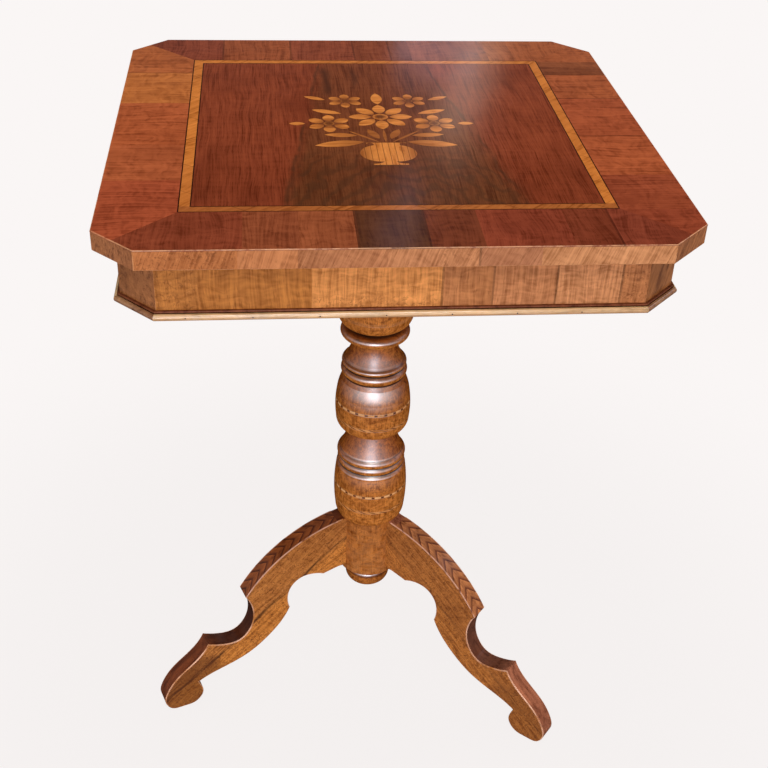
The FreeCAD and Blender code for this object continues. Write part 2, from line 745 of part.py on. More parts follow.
def chevrons():
    """Return the pale and the dark chevron pieces of one knee.

    The chevrons point at the column, and each arm is a piece of its own, mitred along the middle.
    """
    radius = knee_circle().Radius
    first, last = knee_angles()
    half = size("leg_thickness / 2")
    over = size("cut_overrun")
    depth = size("knee_inlay") + over
    step = size("chevron_step")
    lead = math.ceil(CHEVRON_SLOPE * half / step)
    count = math.ceil(radius * (first - last) / step)
    tones = ([], [])
    for side in (1, -1):
        cutters = []
        for number in range(-lead, count):
            corners = []
            for across in (-over, half + over):
                corners.append((across, first - (number * step + CHEVRON_SLOPE * across) / radius))
            (near, near_angle), (far, far_angle) = corners
            middle = (near_angle + far_angle) / 2
            rise = Vector(math.cos(middle), 0, math.sin(middle)) * depth
            low = knee_point(radius, near_angle) + Vector(0, side * near, 0)
            high = knee_point(radius, far_angle) + Vector(0, side * far, 0)
            wire = Part.makePolygon([low - rise, high - rise, high + rise, low + rise, low - rise])
            cutters.append(Part.Face(wire))
        pieces, _ = knee_layer(side).generalFuse(cutters)
        for solid in pieces.Solids:
            spot = solid.CenterOfMass
            arm = spot - knee_circle().Center
            along = radius * (first - math.atan2(arm.z, arm.x)) - CHEVRON_SLOPE * abs(spot.y)
            tones[math.floor(along / step) % 2].append(solid)
    return tones


def bearer(screw_blanks):
    """Make the cross batten with its screw holes and the bore for the column's tenon."""
    outline = rectangle(f"-{RAIL_INNER}", RAIL_INNER, "-bearer_width / 2", "bearer_width / 2")
    batten = plate("batten", outline, BEARER_BOTTOM, "bearer_thickness")
    bore = doc.addObject("Part::Cylinder", "tenon_bore")
    bore.setExpression("Radius", bound("tenon_radius + tenon_clearance"))
    bore.setExpression("Height", bound("bearer_thickness + 2 * cut_overrun"))
    placed(bore, "0", "0", f"{BEARER_BOTTOM} - cut_overrun")
    return cut("bearer", batten, group("bearer_cuts", [bore, screw_blanks]))


screw_blanks, bearer_screws = screws()
nodes = top_pieces(screw_blanks) + frieze_pieces() + pedestal_pieces()
nodes += [glue_blocks(), bearer(screw_blanks), bearer_screws]
doc.recompute()

failed = [item.Name for item in doc.Objects if "Invalid" in item.State or "Error" in item.State]
if failed:
    raise RuntimeError(f"failed to build: {failed}")
for node in nodes:
    if node.Shape.isNull() or not node.Shape.isValid() or not node.Shape.Solids:
        raise RuntimeError(f"no valid solid in {node.Label}")

os.makedirs("parts", exist_ok=True)
for node in nodes:
    node.Shape.exportStep(f"parts/{node.Label}.step")
    box = node.Shape.BoundBox
    print(f"{node.Label}: {len(node.Shape.Solids)} solids, {node.Shape.Volume:.0f} mm3, "
          f"x {box.XMin:.1f}..{box.XMax:.1f} y {box.YMin:.1f}..{box.YMax:.1f} "
          f"z {box.ZMin:.1f}..{box.ZMax:.1f}")
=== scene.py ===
"""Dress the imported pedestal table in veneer, inlay, turned walnut and old polish, and light it."""

import logging
import math
import random
from collections.abc import Callable, Sequence
from dataclasses import dataclass, field, replace
from enum import Enum

import bmesh
import bpy
from mathutils import Matrix, Vector


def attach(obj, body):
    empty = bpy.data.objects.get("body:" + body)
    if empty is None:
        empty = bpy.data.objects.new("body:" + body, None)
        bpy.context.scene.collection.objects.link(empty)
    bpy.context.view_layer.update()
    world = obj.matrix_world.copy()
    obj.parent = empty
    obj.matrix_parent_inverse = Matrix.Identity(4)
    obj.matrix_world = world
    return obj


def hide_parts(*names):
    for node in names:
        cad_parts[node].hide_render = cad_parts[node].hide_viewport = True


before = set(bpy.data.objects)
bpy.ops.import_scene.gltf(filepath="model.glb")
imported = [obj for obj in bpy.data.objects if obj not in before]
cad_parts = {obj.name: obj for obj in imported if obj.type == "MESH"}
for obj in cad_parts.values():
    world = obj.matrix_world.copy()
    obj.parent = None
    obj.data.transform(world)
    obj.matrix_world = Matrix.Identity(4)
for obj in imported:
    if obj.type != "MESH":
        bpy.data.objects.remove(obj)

LOG = logging.getLogger("pedestal_table")
MM = 0.001
NEAR = 0.01 * MM
WELD = 0.001 * MM
Colour = tuple[float, float, float, float]
Point = tuple[float, float, float]
EdgeTest = Callable[[bmesh.types.BMEdge], bool]
FaceTest = Callable[[bmesh.types.BMFace], bool]


class Side(Enum):
    """A side of the square top, with the turn that brings the front to it."""

    FRONT = 0
    RIGHT = 1
    BACK = 2
    LEFT = 3

    @property
    def label(self) -> str:
        """Return the side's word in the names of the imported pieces."""
        return self.name.lower()

    @property
    def outward(self) -> Vector:
        """Return the direction that the side looks in."""
        return Matrix.Rotation(self.value * math.pi / 2, 3, "Z") @ Vector((0, -1, 0))

    @property
    def run(self) -> Vector:
        """Return the direction along the side, the way the world's axes count."""
        return Vector((1, 0, 0)) if self in (Side.FRONT, Side.BACK) else Vector((0, 1, 0))


def stain(red: float, green: float, blue: float) -> Colour:
    """Return the linear colour of a tone.

    Args:
        red: Red as the eye sees it, from 0 to 255.
        green: Green, likewise.
        blue: Blue, likewise.

    Returns:
        The colour for a shader's socket.
    """
    shares = (value / 255 for value in (red, green, blue))
    linear = tuple(share / 12.92 if share <= 0.04045 else ((share + 0.055) / 1.055) ** 2.4
                   for share in shares)
    return (*linear, 1.0)


def stains(*tones: tuple[int, int, int]) -> tuple[Colour, ...]:
    """Return the linear colours of several tones."""
    return tuple(stain(*tone) for tone in tones)


class Wire:
    """A node's output that takes part in sums as a number does."""

    def __init__(self, bench: "Bench", socket: bpy.types.NodeSocket) -> None:
        """Keep the socket and the bench that it belongs to."""
        self.bench = bench
        self.socket = socket

    def __add__(self, other: "Wire | float") -> "Wire":
        """Return the sum."""
        return self.bench.math("ADD", self, other)

    __radd__ = __add__

    def __sub__(self, other: "Wire | float") -> "Wire":
        """Return the difference."""
        return self.bench.math("SUBTRACT", self, other)

    def __rsub__(self, other: float) -> "Wire":
        """Return the difference from a number."""
        return self.bench.math("SUBTRACT", other, self)

    def __mul__(self, other: "Wire | float") -> "Wire":
        """Return the product."""
        return self.bench.math("MULTIPLY", self, other)

    __rmul__ = __mul__

    def __truediv__(self, other: "Wire | float") -> "Wire":
        """Return the quotient."""
        return self.bench.math("DIVIDE", self, other)

    def __abs__(self) -> "Wire":
        """Return the size without its sign."""
        return self.bench.math("ABSOLUTE", self)

    def sine(self) -> "Wire":
        """Return the sine."""
        return self.bench.math("SINE", self)

    def fraction(self) -> "Wire":
        """Return what is left over a whole number."""
        return self.bench.math("FRACT", self)

    def larger(self, other: "Wire | float") -> "Wire":
        """Return the larger of two values."""
        return self.bench.math("MAXIMUM", self, other)

    def smaller(self, other: "Wire | float") -> "Wire":
        """Return the smaller of two values."""
        return self.bench.math("MINIMUM", self, other)

    def step(self, low: float, high: float) -> "Wire":
        """Return a soft step.

        Args:
            low: Where the step is still 0.
            high: Where it has reached 1.

        Returns:
            A value from 0 to 1; the step goes down where low is above high.
        """
        ends = (low, high, 0.0, 1.0) if low < high else (high, low, 1.0, 0.0)
        sockets = {0: self, 1: ends[0], 2: ends[1], 3: ends[2], 4: ends[3]}
        return self.bench.wire("ShaderNodeMapRange", {"interpolation_type": "SMOOTHSTEP"}, sockets)


class Bench:
    """The node tree of a material or of the world, and the one way to add a node to it."""

    def __init__(self, owner: bpy.types.Material | bpy.types.World) -> None:
        """Clear the owner's tree."""
        self.owner = owner
        owner.use_nodes = True
        self.tree = owner.node_tree
        self.tree.nodes.clear()

    @classmethod
    def material(cls, name: str) -> "Bench":
        """Start a new material."""
        return cls(bpy.data.materials.new(name))

    def node(self, kind: str, settings: dict | None = None, sockets: dict | None = None) -> bpy.types.Node:
        """Add a node.

        Args:
            kind: The node's type.
            settings: What is set on the node itself, before its sockets; "stops" fills a colour ramp.
            sockets: Values or wires, by the socket's name or number.

        Returns:
            The node.
        """
        made = self.tree.nodes.new(kind)
        for word, value in (settings or {}).items():
            if word == "stops":
                self._fill_ramp(made.color_ramp, value)
            else:
                setattr(made, word, value)
        for key, value in (sockets or {}).items():
            if isinstance(value, Wire):
                self.tree.links.new(value.socket, made.inputs[key])
            else:
                made.inputs[key].default_value = value
        return made

    def wire(self, kind: str, settings: dict | None = None, sockets: dict | None = None,
             output: int | str = 0) -> Wire:
        """Add a node and return one of its outputs.

        Args:
            kind: The node's type.
            settings: As for node().
            sockets: As for node().
            output: The output's name or number.

        Returns:
            The output.
        """
        return Wire(self, self.node(kind, settings, sockets).outputs[output])

    def math(self, operation: str, first: Wire | float, second: Wire | float | None = None) -> Wire:
        """Return the result of one sum."""
        sockets = {0: first} if second is None else {0: first, 1: second}
        return self.wire("ShaderNodeMath", {"operation": operation}, sockets)

    def mix(self, share: Wire | float, first: Wire | Colour, second: Wire | Colour,
            blend: str = "MIX") -> Wire:
        """Return a blend of two colours, with a share of the second."""
        sockets = {0: share, 6: first, 7: second}
        return self.wire("ShaderNodeMix", {"data_type": "RGBA", "blend_type": blend}, sockets, 2)

    def ramp(self, at: Wire, stops: Sequence[tuple[float, Colour]], interpolation: str = "LINEAR") -> Wire:
        """Return the colour at a place along a row of stops.

        Args:
            at: The place, from 0 to 1.
            stops: Places and their colours, in order.
            interpolation: How the colours change between the stops.

        Returns:
            The colour.
        """
        node = self.node("ShaderNodeValToRGB", {"stops": stops}, {0: at})
        node.color_ramp.interpolation = interpolation
        return Wire(self, node.outputs[0])

    def vector(self, across: Wire | float, along: Wire | float, up: Wire | float) -> Wire:
        """Return three values as one vector."""
        return self.wire("ShaderNodeCombineXYZ", None, {0: across, 1: along, 2: up})

    def dot(self, vector: Wire, axis: Sequence[float]) -> Wire:
        """Return how far a vector reaches along an axis."""
        sockets = {0: vector, 1: tuple(axis)}
        return self.wire("ShaderNodeVectorMath", {"operation": "DOT_PRODUCT"}, sockets, 1)

    def length(self, vector: Wire) -> Wire:
        """Return a vector's length."""
        return self.wire("ShaderNodeVectorMath", {"operation": "LENGTH"}, {0: vector}, 1)

    def noise(self, vector: Wire, shift: Wire | float = 0.0, detail: float = 2.0, rough: float = 0.5,
              twist: float = 0.0) -> Wire:
        """Return noise of about one wave for each unit of a vector.

        Args:
            vector: Where the noise is read.
            shift: Which slice of it is read.
            detail: How many finer layers it has.
            rough: How strong they are.
            twist: How far it curls.

        Returns:
            A value about 0.5.
        """
        sockets = {"Vector": vector, "W": shift, "Scale": 1.0, "Detail": detail, "Roughness": rough,
                   "Distortion": twist}
        return self.wire("ShaderNodeTexNoise", {"noise_dimensions": "4D"}, sockets)

    def attribute(self, name: str) -> Wire:
        """Return a piece's own value, kept on its mesh."""
        return self.wire("ShaderNodeAttribute", {"attribute_name": name}, None, "Fac")

    def close(self, shader: bpy.types.Node) -> bpy.types.Material | bpy.types.World:
        """Join a shader to the tree's output.

        Args:
            shader: The last node before the output.

        Returns:
            The tree's owner.
        """
        of_world = isinstance(self.owner, bpy.types.World)
        output = self.node("ShaderNodeOutputWorld" if of_world else "ShaderNodeOutputMaterial")
        self.tree.links.new(shader.outputs[0], output.inputs["Surface"])
        return self.owner

    @staticmethod
    def _fill_ramp(ramp: bpy.types.ColorRamp, stops: Sequence[tuple[float, Colour]]) -> None:
        """Give a ramp its stops.

        Args:
            ramp: The ramp.
            stops: Places and their colours, in order.
        """
        while len(ramp.elements) > 1:
            ramp.elements.remove(ramp.elements[-1])
        ramp.elements[0].position, ramp.elements[0].color = stops[0]
        for position, colour in stops[1:]:
            ramp.elements.new(position).color = colour


@dataclass(frozen=True)
class Lay:
    """How wood lies in a piece: the way of its grain, and the way across it in the seen face."""

    along: Point
    across: Point

    @property
    def depth(self) -> Point:
        """Return the direction into the seen face."""
        return tuple(Vector(self.along).cross(Vector(self.across)).normalized())


@dataclass(frozen=True)
class Spot:
    """The place being shaded, in metres: as the world counts it, and along, across and into the grain."""

    place: Wire
    x: Wire
    y: Wire
    z: Wire
    along: Wire
    across: Wire
    depth: Wire

    @classmethod
    def on(cls, bench: Bench, lay: Lay) -> "Spot":
        """Read the place from the piece's own coordinates.

        Args:
            bench: The material's tree.
            lay: How the wood lies in the piece.

        Returns:
            The place.
        """
        place = bench.wire("ShaderNodeTexCoord", None, None, "Object")
        world = [bench.dot(place, axis) for axis in ((1, 0, 0), (0, 1, 0), (0, 0, 1))]
        grain = [bench.dot(place, axis) for axis in (lay.along, lay.across, lay.depth)]
        return cls(place, *world, *grain)

    def cloud(self, size: float, shift: float, detail: float, rough: float = 0.5,
              twist: float = 0.0) -> Wire:
        """Return noise of about one wave in a size; the rest is as for Bench.noise()."""
        place = self.place.bench.vector(self.x / size, self.y / size, self.z / size)
        return self.place.bench.noise(place, shift, detail, rough, twist)


class Overlay:
    """Something laid over a wood's own figure."""

    def over(self, bench: Bench, spot: Spot, colour: Wire) -> Wire:
        """Return the colour with this on it.

        Args:
            bench: The material's tree.
            spot: The place being shaded.
            colour: The colour so far.

        Returns:
            The new colour.
        """
        raise NotImplementedError


@dataclass(frozen=True)
class LeafRun:
    """Leaves of veneer laid side by side, with a dark joint between them.

    Places are along the axis, in metres, and there is one tone more than there are joints.
    """

    axis: Point
    start: float
    end: float
    joints: tuple[float, ...]
    tones: tuple[Colour, ...]
    joint_width: float = 0.0007
    joint_tone: float = 0.62
    seed: int = 1

    def at(self, bench: Bench, spot: Spot) -> Wire:
        """Return the place along the run, from 0 to 1."""
        return (bench.dot(spot.place, self.axis) - self.start) / (self.end - self.start)

    def tone(self, bench: Bench, spot: Spot) -> Wire:
        """Colour each leaf, darkened at its joints.

        Args:
            bench: The material's tree.
            spot: The place being shaded.

        Returns:
            The leaf's own colour.
        """
        reach = self.end - self.start
        half = self.joint_width / 2 / reach
        stops = [(0.0, self.tones[0])]
        for place, before, after in zip(self.joints, self.tones, self.tones[1:]):
            middle = (place - self.start) / reach
            dark = tuple((a + b) / 2 * self.joint_tone for a, b in zip(before, after))
            stops += [(middle - half, (*dark[:3], 1.0)), (middle + half, after)]
        return bench.ramp(self.at(bench, spot), stops, "CONSTANT")

    def shift(self, bench: Bench, spot: Spot) -> Wire:
        """Tell the leaves apart, so that no grain runs on across a joint.

        Args:
            bench: The material's tree.
            spot: The place being shaded.

        Returns:
            A number of its own for each leaf.
        """
        chance = random.Random(self.seed)
        reach = self.end - self.start
        stops = [(0.0, (0.5, 0.5, 0.5, 1.0))]
        for place in self.joints:
            level = chance.random()
            stops.append(((place - self.start) / reach, (level, level, level, 1.0)))
        return bench.dot(bench.ramp(self.at(bench, spot), stops, "CONSTANT"), (1, 0, 0)) * 20.0

    @classmethod
    def matched(cls, axis: Point, half: float, tones: Sequence[Colour], width: float,
                seed: int) -> "LeafRun":
        """Return a run of leaves of about one width, with tones drawn by lot.

        Args:
            axis: The direction of the run.
            half: Half of the run's length.
            tones: The tones to draw from.
            width: About how wide a leaf is.
            seed: The seed of the lot.

        Returns:
            The run.
        """
        chance = random.Random(seed)
        joints = []
        place = -half + width * chance.uniform(0.5, 1.0)
        while place < half - width * 0.4 and len(joints) < 12:
            joints.append(place)
            place += width * chance.uniform(0.7, 1.4)
        drawn = tuple(chance.choice(list(tones)) for _ in range(len(joints) + 1))
        return cls(axis, -half, half, tuple(joints), drawn, seed=seed)


@dataclass(frozen=True)
class Wood:
    """A cut of wood under old polish. Widths are in metres, across the grain.

    Polish names an attribute of the mesh that says where the polish has been kept. The pairs are the ends of
    soft steps: from dark to body and from body to fair in the figure, and from bare to polished.
    """

    name: str
    body: Colour
    deep: Colour = (0.50, 0.44, 0.40, 1.0)
    fair: Colour = (1.32, 1.36, 1.36, 1.0)
    streak: float = 0.007
    stretch: float = 14.0
    wander: float = 0.004
    line: float = 0.0011
    line_share: float = 0.30
    ripple: float = 0.006
    ripple_share: float = 0.12
    pore: float = 0.0006
    pore_share: float = 0.45
    blotch: float = 0.07
    blotch_share: float = 0.35
    roughness: float = 0.36
    coat: float = 0.50
    coat_roughness: float = 0.15
    coat_ior: float = 1.5
    polish: str = ""
    fall: float = 1.5
    relief: float = 0.25
    blend: float = 0.0
    drift: Point = (0.05, 0.05, 0.09)
    swirl: Point = (0.022, 0.022, 0.022)
    smear: float = 0.035
    pit_depth: float = 0.2 * MM
    dark_to_body: tuple[float, float] = (0.38, 0.51)
    body_to_fair: tuple[float, float] = (0.50, 0.62)
    bare_to_polished: tuple[float, float] = (0.05, 0.27)

    def figure(self, bench: Bench, spot: Spot, body: Wire, shift: Wire | float) -> tuple[Wire, Wire, Wire]:
        """Draw the wood's figure.

        Args:
            bench: The material's tree.
            spot: The place being shaded.
            body: The wood's middle tone.
            shift: Which slice of the pattern to take.

        Returns:
            The colour, the fine lines and the pores.
        """
        def noise(across: Wire, along: Wire, sizes: Point, detail: float, rough: float = 0.5) -> Wire:
            """Return noise of given sizes across, into and along the grain."""
            place = bench.vector(across / sizes[0], spot.depth / sizes[1], along / sizes[2])
            return bench.noise(place, shift, detail, rough)

        drift = noise(spot.across, spot.along, self.drift, 1.0)
        swirl = noise(spot.across, spot.along, self.swirl, 2.0)
        across = spot.across + (drift - 0.5) * (self.wander * 6)
        along = spot.along + (swirl - 0.5) * (self.wander * 7)
        broad = noise(across, along, (self.streak, self.streak, self.streak * self.stretch), 3.0, 0.6)
        lines = noise(across, along, (self.line, self.line, self.line * 32), 3.0)
        wave = noise(across, along, (self.ripple * 3.5, self.ripple, self.ripple), 1.0)
        pits = noise(across, along, (self.pore, self.pore, self.pore * 14), 1.0).step(0.60, 0.70)
        patch = noise(across, along, (self.blotch, self.blotch, self.blotch * 1.8), 2.0).step(0.45, 0.75)
        rest = 1.0 - self.line_share - self.ripple_share
        value = broad * rest + lines * self.line_share + wave * self.ripple_share
        dark = bench.mix(1.0, body, self.deep, "MULTIPLY")
        darkest = bench.mix(1.0, dark, self.deep, "MULTIPLY")
        fair = bench.mix(1.0, body, self.fair, "MULTIPLY")
        body_share, fair_share = (value.step(low - self.blend, high + self.blend)
                                  for low, high in (self.dark_to_body, self.body_to_fair))
        colour = bench.mix(fair_share, bench.mix(body_share, dark, body), fair)
        colour = bench.mix(patch * self.blotch_share, colour, dark)
        return bench.mix(pits * self.pore_share, colour, darkest), lines, pits

    def dress(self, name: str, lay: Lay, leaves: LeafRun | None = None,
              overlays: Sequence[Overlay] = ()) -> bpy.types.Material:
        """Make the finish for a piece.

        Args:
            name: The material's name.
            lay: How the wood lies in the piece.
            leaves: The veneer's leaves, where it has several.
            overlays: What lies over the figure, from the bottom up.

        Returns:
            The material.
        """
        bench = Bench.material(name)
        spot = Spot.on(bench, lay)
        body = leaves.tone(bench, spot) if leaves else bench.mix(0.0, self.body, self.body)
        shift = leaves.shift(bench, spot) if leaves else float(len(name))
        colour, lines, pits = self.figure(bench, spot, body, shift)
        for overlay in overlays:
            colour = overlay.over(bench, spot, colour)
        smear = spot.cloud(self.smear, 3.0, 3.0)
        facing = bench.wire("ShaderNodeLayerWeight", None, {"Blend": 0.5}, "Facing")
        gloss = bench.math("POWER", 1.0 - facing, self.fall) * (smear * 0.9 + 0.55) * self.coat
        if self.polish:
            gloss = gloss * (bench.attribute(self.polish).step(*self.bare_to_polished) * 0.95 + 0.05)
        height = lines * 0.4 - pits
        bump = bench.wire("ShaderNodeBump", None,
                          {"Strength": self.relief, "Distance": self.pit_depth, "Height": height})
        shader = bench.node("ShaderNodeBsdfPrincipled", None, {
            "Base Color": colour,
            "Roughness": self.roughness + (smear - 0.5) * 0.22 + (lines - 0.5) * 0.10 + pits * 0.10,
            "Specular IOR Level": 0.0,
            "Coat Weight": gloss,
            "Coat Roughness": self.coat_roughness,
            "Coat IOR": self.coat_ior,
            "Normal": bump,
        })
        return bench.close(shader)


@dataclass(frozen=True)
class Rubbed(Overlay):
    """Polish worn away in patches, with paler wood showing."""

    tone: Colour
    share: float = 0.7
    patch: float = 0.02
    least: float = 0.36
    soft: float = 0.26

    def over(self, bench: Bench, spot: Spot, colour: Wire) -> Wire:
        """Return the colour with worn patches."""
        worn = spot.cloud(self.patch, 5.0, 4.0, 0.65).step(self.least, self.least + self.soft)
        return bench.mix(worn * self.share, colour, self.tone)


@dataclass(frozen=True)
class ArrisWear(Overlay):
    """A pale line along both arrises of a board of a given half thickness: rubbed wear and painted
    highlight.
    """

    axis: Point
    half: float
    tone: Colour
    width: float = 0.0013
    share: float = 0.8
    patch: float = 0.015

    def over(self, bench: Bench, spot: Spot, colour: Wire) -> Wire:
        """Return the colour with the pale lines."""
        off = abs(bench.dot(spot.place, self.axis))
        near = off.step(self.half - self.width, self.half - self.width * 0.4)
        uneven = spot.cloud(self.patch, 4.0, 3.0).step(0.34, 0.52)
        return bench.mix(near * uneven * self.share, colour, self.tone)


@dataclass(frozen=True)
class ChevronShade(Overlay):
    """The shade across each chevron of a knee, from its edge near the column to its edge near the toe.

    The knee's circle is given by its centre, as reach and level, its radius and the angle where the inlay
    starts.
    """

    out: Point
    aside: Point
    centre: tuple[float, float]
    radius: float
    first: float
    tone: Colour
    shares: tuple[float, float]
    step: float = 0.0074
    slope: float = 1.15
    patch: float = 0.006

    def over(self, bench: Bench, spot: Spot, colour: Wire) -> Wire:
        """Return the colour, nearer to the tone by the share at each edge."""
        reach = bench.dot(spot.place, self.out) - self.centre[0]
        angle = bench.math("ARCTAN2", spot.z - self.centre[1], reach)
        along = (self.first - angle) * self.radius - abs(bench.dot(spot.place, self.aside)) * self.slope
        uneven = spot.cloud(self.patch, 5.0, 3.0) - 0.5
        across = ((along / self.step).fraction() + uneven * 0.5).step(0.0, 1.0)
        return bench.mix(across * (self.shares[1] - self.shares[0]) + self.shares[0], colour, self.tone)


@dataclass(frozen=True)
class Relief(Overlay):
    """Grime with painted shade in the hollows of a turning, and crests paler as rubbed wear and painted
    highlight, from the mesh's own relief.
    """

    grime: Colour
    crest: Colour
    grime_share: float = 0.92
    crest_share: float = 0.28
    patch: Point = (0.012, 0.012, 0.006)

    def over(self, bench: Bench, spot: Spot, colour: Wire) -> Wire:
        """Return the colour, darker in hollows and paler on crests."""
        relief = bench.attribute("relief")
        wide, deep, high = self.patch
        uneven = bench.noise(bench.vector(spot.x / wide, spot.y / deep, spot.z / high), 2.0, 3.0)
        # Paler crests: rubbed wear and painted highlight.
        rubbed = relief.step(0.25, 1.0) * uneven.step(0.3, 0.6)
        colour = bench.mix(rubbed * self.crest_share, colour, self.crest)
        # Darker hollows: grime and painted shade.
        return bench.mix(relief.step(-0.08, -0.6) * self.grime_share, colour, self.grime)


@dataclass(frozen=True)
class Patina(Overlay):
    """Painted shade on the upper sides of a turning, darker where they look up, from the mesh's own
    shoulder.
    """

    tone: Colour
    share: float = 0.95
    patch: float = 0.025

    def over(self, bench: Bench, spot: Spot, colour: Wire) -> Wire:
        """Return the colour, darker where the turning looks up."""
        uneven = spot.cloud(self.patch, 6.0, 3.0).step(0.2, 0.5)
        share = bench.attribute("shoulder").step(-0.08, 0.36) * uneven * self.share
        return bench.mix(share, colour, self.tone, "MULTIPLY")


@dataclass(frozen=True)
class HeartStreak(Overlay):
    """A dark streak along a board, with paler sapwood on its lower side."""

    across: float
    sap: Colour
    streak: Colour
    share: float = 0.8
    width: float = 0.0032
    sway: float = 0.016
    sap_edge: tuple[float, float] = (0.004, -0.012)

    def over(self, bench: Bench, spot: Spot, colour: Wire) -> Wire:
        """Return the colour with the streak and the sapwood."""
        sway = bench.noise(bench.vector(spot.along / 0.06, spot.across / 0.05, spot.depth / 0.05), 1.0, 2.0)
        gaps = bench.noise(bench.vector(spot.along / 0.03, spot.across / 0.004, spot.depth / 0.02), 4.0, 2.0)
        off = spot.across - self.across + (sway - 0.5) * self.sway
        colour = bench.mix(off.step(*self.sap_edge) * self.share, colour, self.sap, "MULTIPLY")
        near = abs(off).step(self.width, self.width * 0.25)
        return bench.mix(near * gaps.step(0.32, 0.55) * self.share, colour, self.streak)


@dataclass(frozen=True)
class Pocket(Overlay):
    """A darker patch about a place along and across the grain: old dirt and painted shade in a hollow of the
    outline, or a darker foot.
    """

    middle: tuple[float, float]
    reach: float = 0.052
    dirt: Colour = (0.030, 0.007, 0.003, 1.0)
    share: float = 0.75
    patch: float = 0.02

    def over(self, bench: Bench, spot: Spot, colour: Wire) -> Wire:
        """Return the colour with the darker patch."""
        away = bench.length(bench.vector(spot.along - self.middle[0], spot.across - self.middle[1], 0.0))
        uneven = spot.cloud(self.patch, 6.0, 3.0) - 0.5
        inside = (away + uneven * self.patch).step(self.reach, self.reach * 0.75)
        return bench.mix(inside * self.share, colour, self.dirt)


@dataclass(frozen=True)
class Burl(Overlay):
    """Dark curls and spots of burl, between two places along a run and under a level."""

    axis: Point
    low: float
    high: float
    below: float = 2.0
    size: float = 0.0065
    share: float = 0.55
    soft_end: float = 0.010
    soft_top: float = 0.012
    dark: Colour = stain(104, 56, 26)
    pale: Colour = stain(224, 158, 96)

    def over(self, bench: Bench, spot: Spot, colour: Wire) -> Wire:
        """Return the colour with the burl."""
        at = bench.dot(spot.place, self.axis)
        inside = at.step(self.low, self.low + self.soft_end) * at.step(self.high, self.high - self.soft_end)
        inside = inside * spot.z.step(self.below, self.below - self.soft_top)
        curls = spot.cloud(self.size, 2.0, 4.0, 0.6, 2.2)
        colour = bench.mix(inside * curls.step(0.52, 0.64) * self.share, colour, self.dark)
        return bench.mix(inside * curls.step(0.40, 0.30) * self.share * 0.6, colour, self.pale)


@dataclass(frozen=True)
class Wash(Overlay):
    """A soft change of tone between two places along a run."""

    axis: Point
    low: float
    high: float
    tone: Colour
    share: float = 0.6
    soft: float = 0.03

    def over(self, bench: Bench, spot: Spot, colour: Wire) -> Wire:
        """Return the colour with the change of tone."""
        sway = bench.noise(bench.vector(spot.x / 0.05, spot.y / 0.08, spot.z / 0.05), 9.0, 2.0) - 0.5
        at = bench.dot(spot.place, self.axis) + sway * self.soft
        inside = at.step(self.low, self.low + self.soft) * at.step(self.high, self.high - self.soft)
        return bench.mix(inside * self.share, colour, self.tone, "MULTIPLY")


@dataclass(frozen=True)
class Flame(Overlay):
    """Darker, greener heartwood in the middle of the field, wider in front, with arches at its front end.

    Its sides run from a place across at the front end to one at the back end.
    """

    tone: Colour
    front: float = -0.19
    back: float = 0.19
    left: tuple[float, float] = (-0.104, -0.058)
    right: tuple[float, float] = (0.118, 0.066)
    sway: float = 0.020
    line_width: float = 0.0035
    line_share: float = 0.55
    arch_rate: float = 380.0
    arch_share: float = 0.42
    edge: Colour = stain(60, 36, 20)

    def over(self, bench: Bench, spot: Spot, colour: Wire) -> Wire:
        """Return the colour with the heartwood, the dark lines at its sides, and its arches."""
        sway = bench.noise(bench.vector(spot.x / 0.03, spot.y / 0.06, 0.0), 7.0, 3.0) - 0.5
        back = (spot.y - self.front) / (self.back - self.front)
        offs = [spot.x - back * (ends[1] - ends[0]) - ends[0] + sway * self.sway
                for ends in (self.left, self.right)]
        inside = offs[0].step(-0.008, 0.012) * offs[1].step(0.014, -0.016)
        colour = bench.mix(inside * (1.0 - back * 0.45), colour, self.tone, "MULTIPLY")
        line = abs(offs[0]).smaller(abs(offs[1])).step(self.line_width, 0.0) * sway.step(-0.12, 0.06)
        middle = spot.x - (self.left[0] + self.right[0]) / 2 + sway * self.sway
        deep = spot.y - self.front + 0.05
        ring = bench.math("SQRT", middle * middle + deep * deep * 0.4)
        arch = (ring * self.arch_rate + sway * 26.0).sine().step(-0.2, 1.0)
        colour = bench.mix(inside * arch * back.step(0.42, 0.18) * self.arch_share, colour, self.edge)
        return bench.mix(line * self.line_share, colour, self.edge)


@dataclass(frozen=True)
class DarkVein(Overlay):
    """A short black vein along the grain."""

    across: float
    low: float
    high: float
    width: float
    share: float = 0.6
    sway: float = 0.012
    fade: float = 0.03
    tone: Colour = stain(52, 26, 15)

    def over(self, bench: Bench, spot: Spot, colour: Wire) -> Wire:
        """Return the colour with the vein."""
        sway = bench.noise(bench.vector(spot.x / 0.012, spot.y / 0.03, 0.0), 2.0, 3.0) - 0.5
        near = abs(spot.x - self.across + sway * self.sway).step(self.width, 0.0)
        ends = spot.y.step(self.low, self.low + self.fade) * spot.y.step(self.high, self.high - self.fade)
        return bench.mix(near * ends * self.share, colour, self.tone)


@dataclass(frozen=True)
class SandShade(Overlay):
    """The scorch that hot sand leaves on inlay, darkest towards given places."""

    places: tuple[tuple[float, float], ...]
    reach: float
    scorch: Colour
    share: float = 0.75
    sand: float = 0.004

    def over(self, bench: Bench, spot: Spot, colour: Wire) -> Wire:
        """Return the colour with the scorch."""
        near = None
        for across, along in self.places:
            away = bench.length(bench.vector(spot.x - across, spot.y - along, 0.0))
            near = away if near is None else near.smaller(away)
        uneven = bench.noise(bench.vector(spot.x / self.sand, spot.y / self.sand, 0.0), 3.0, 2.0) - 0.5
        inside = (near + uneven * self.sand).step(self.reach, self.reach * 0.25)
        return bench.mix(inside * self.share, colour, self.scorch)


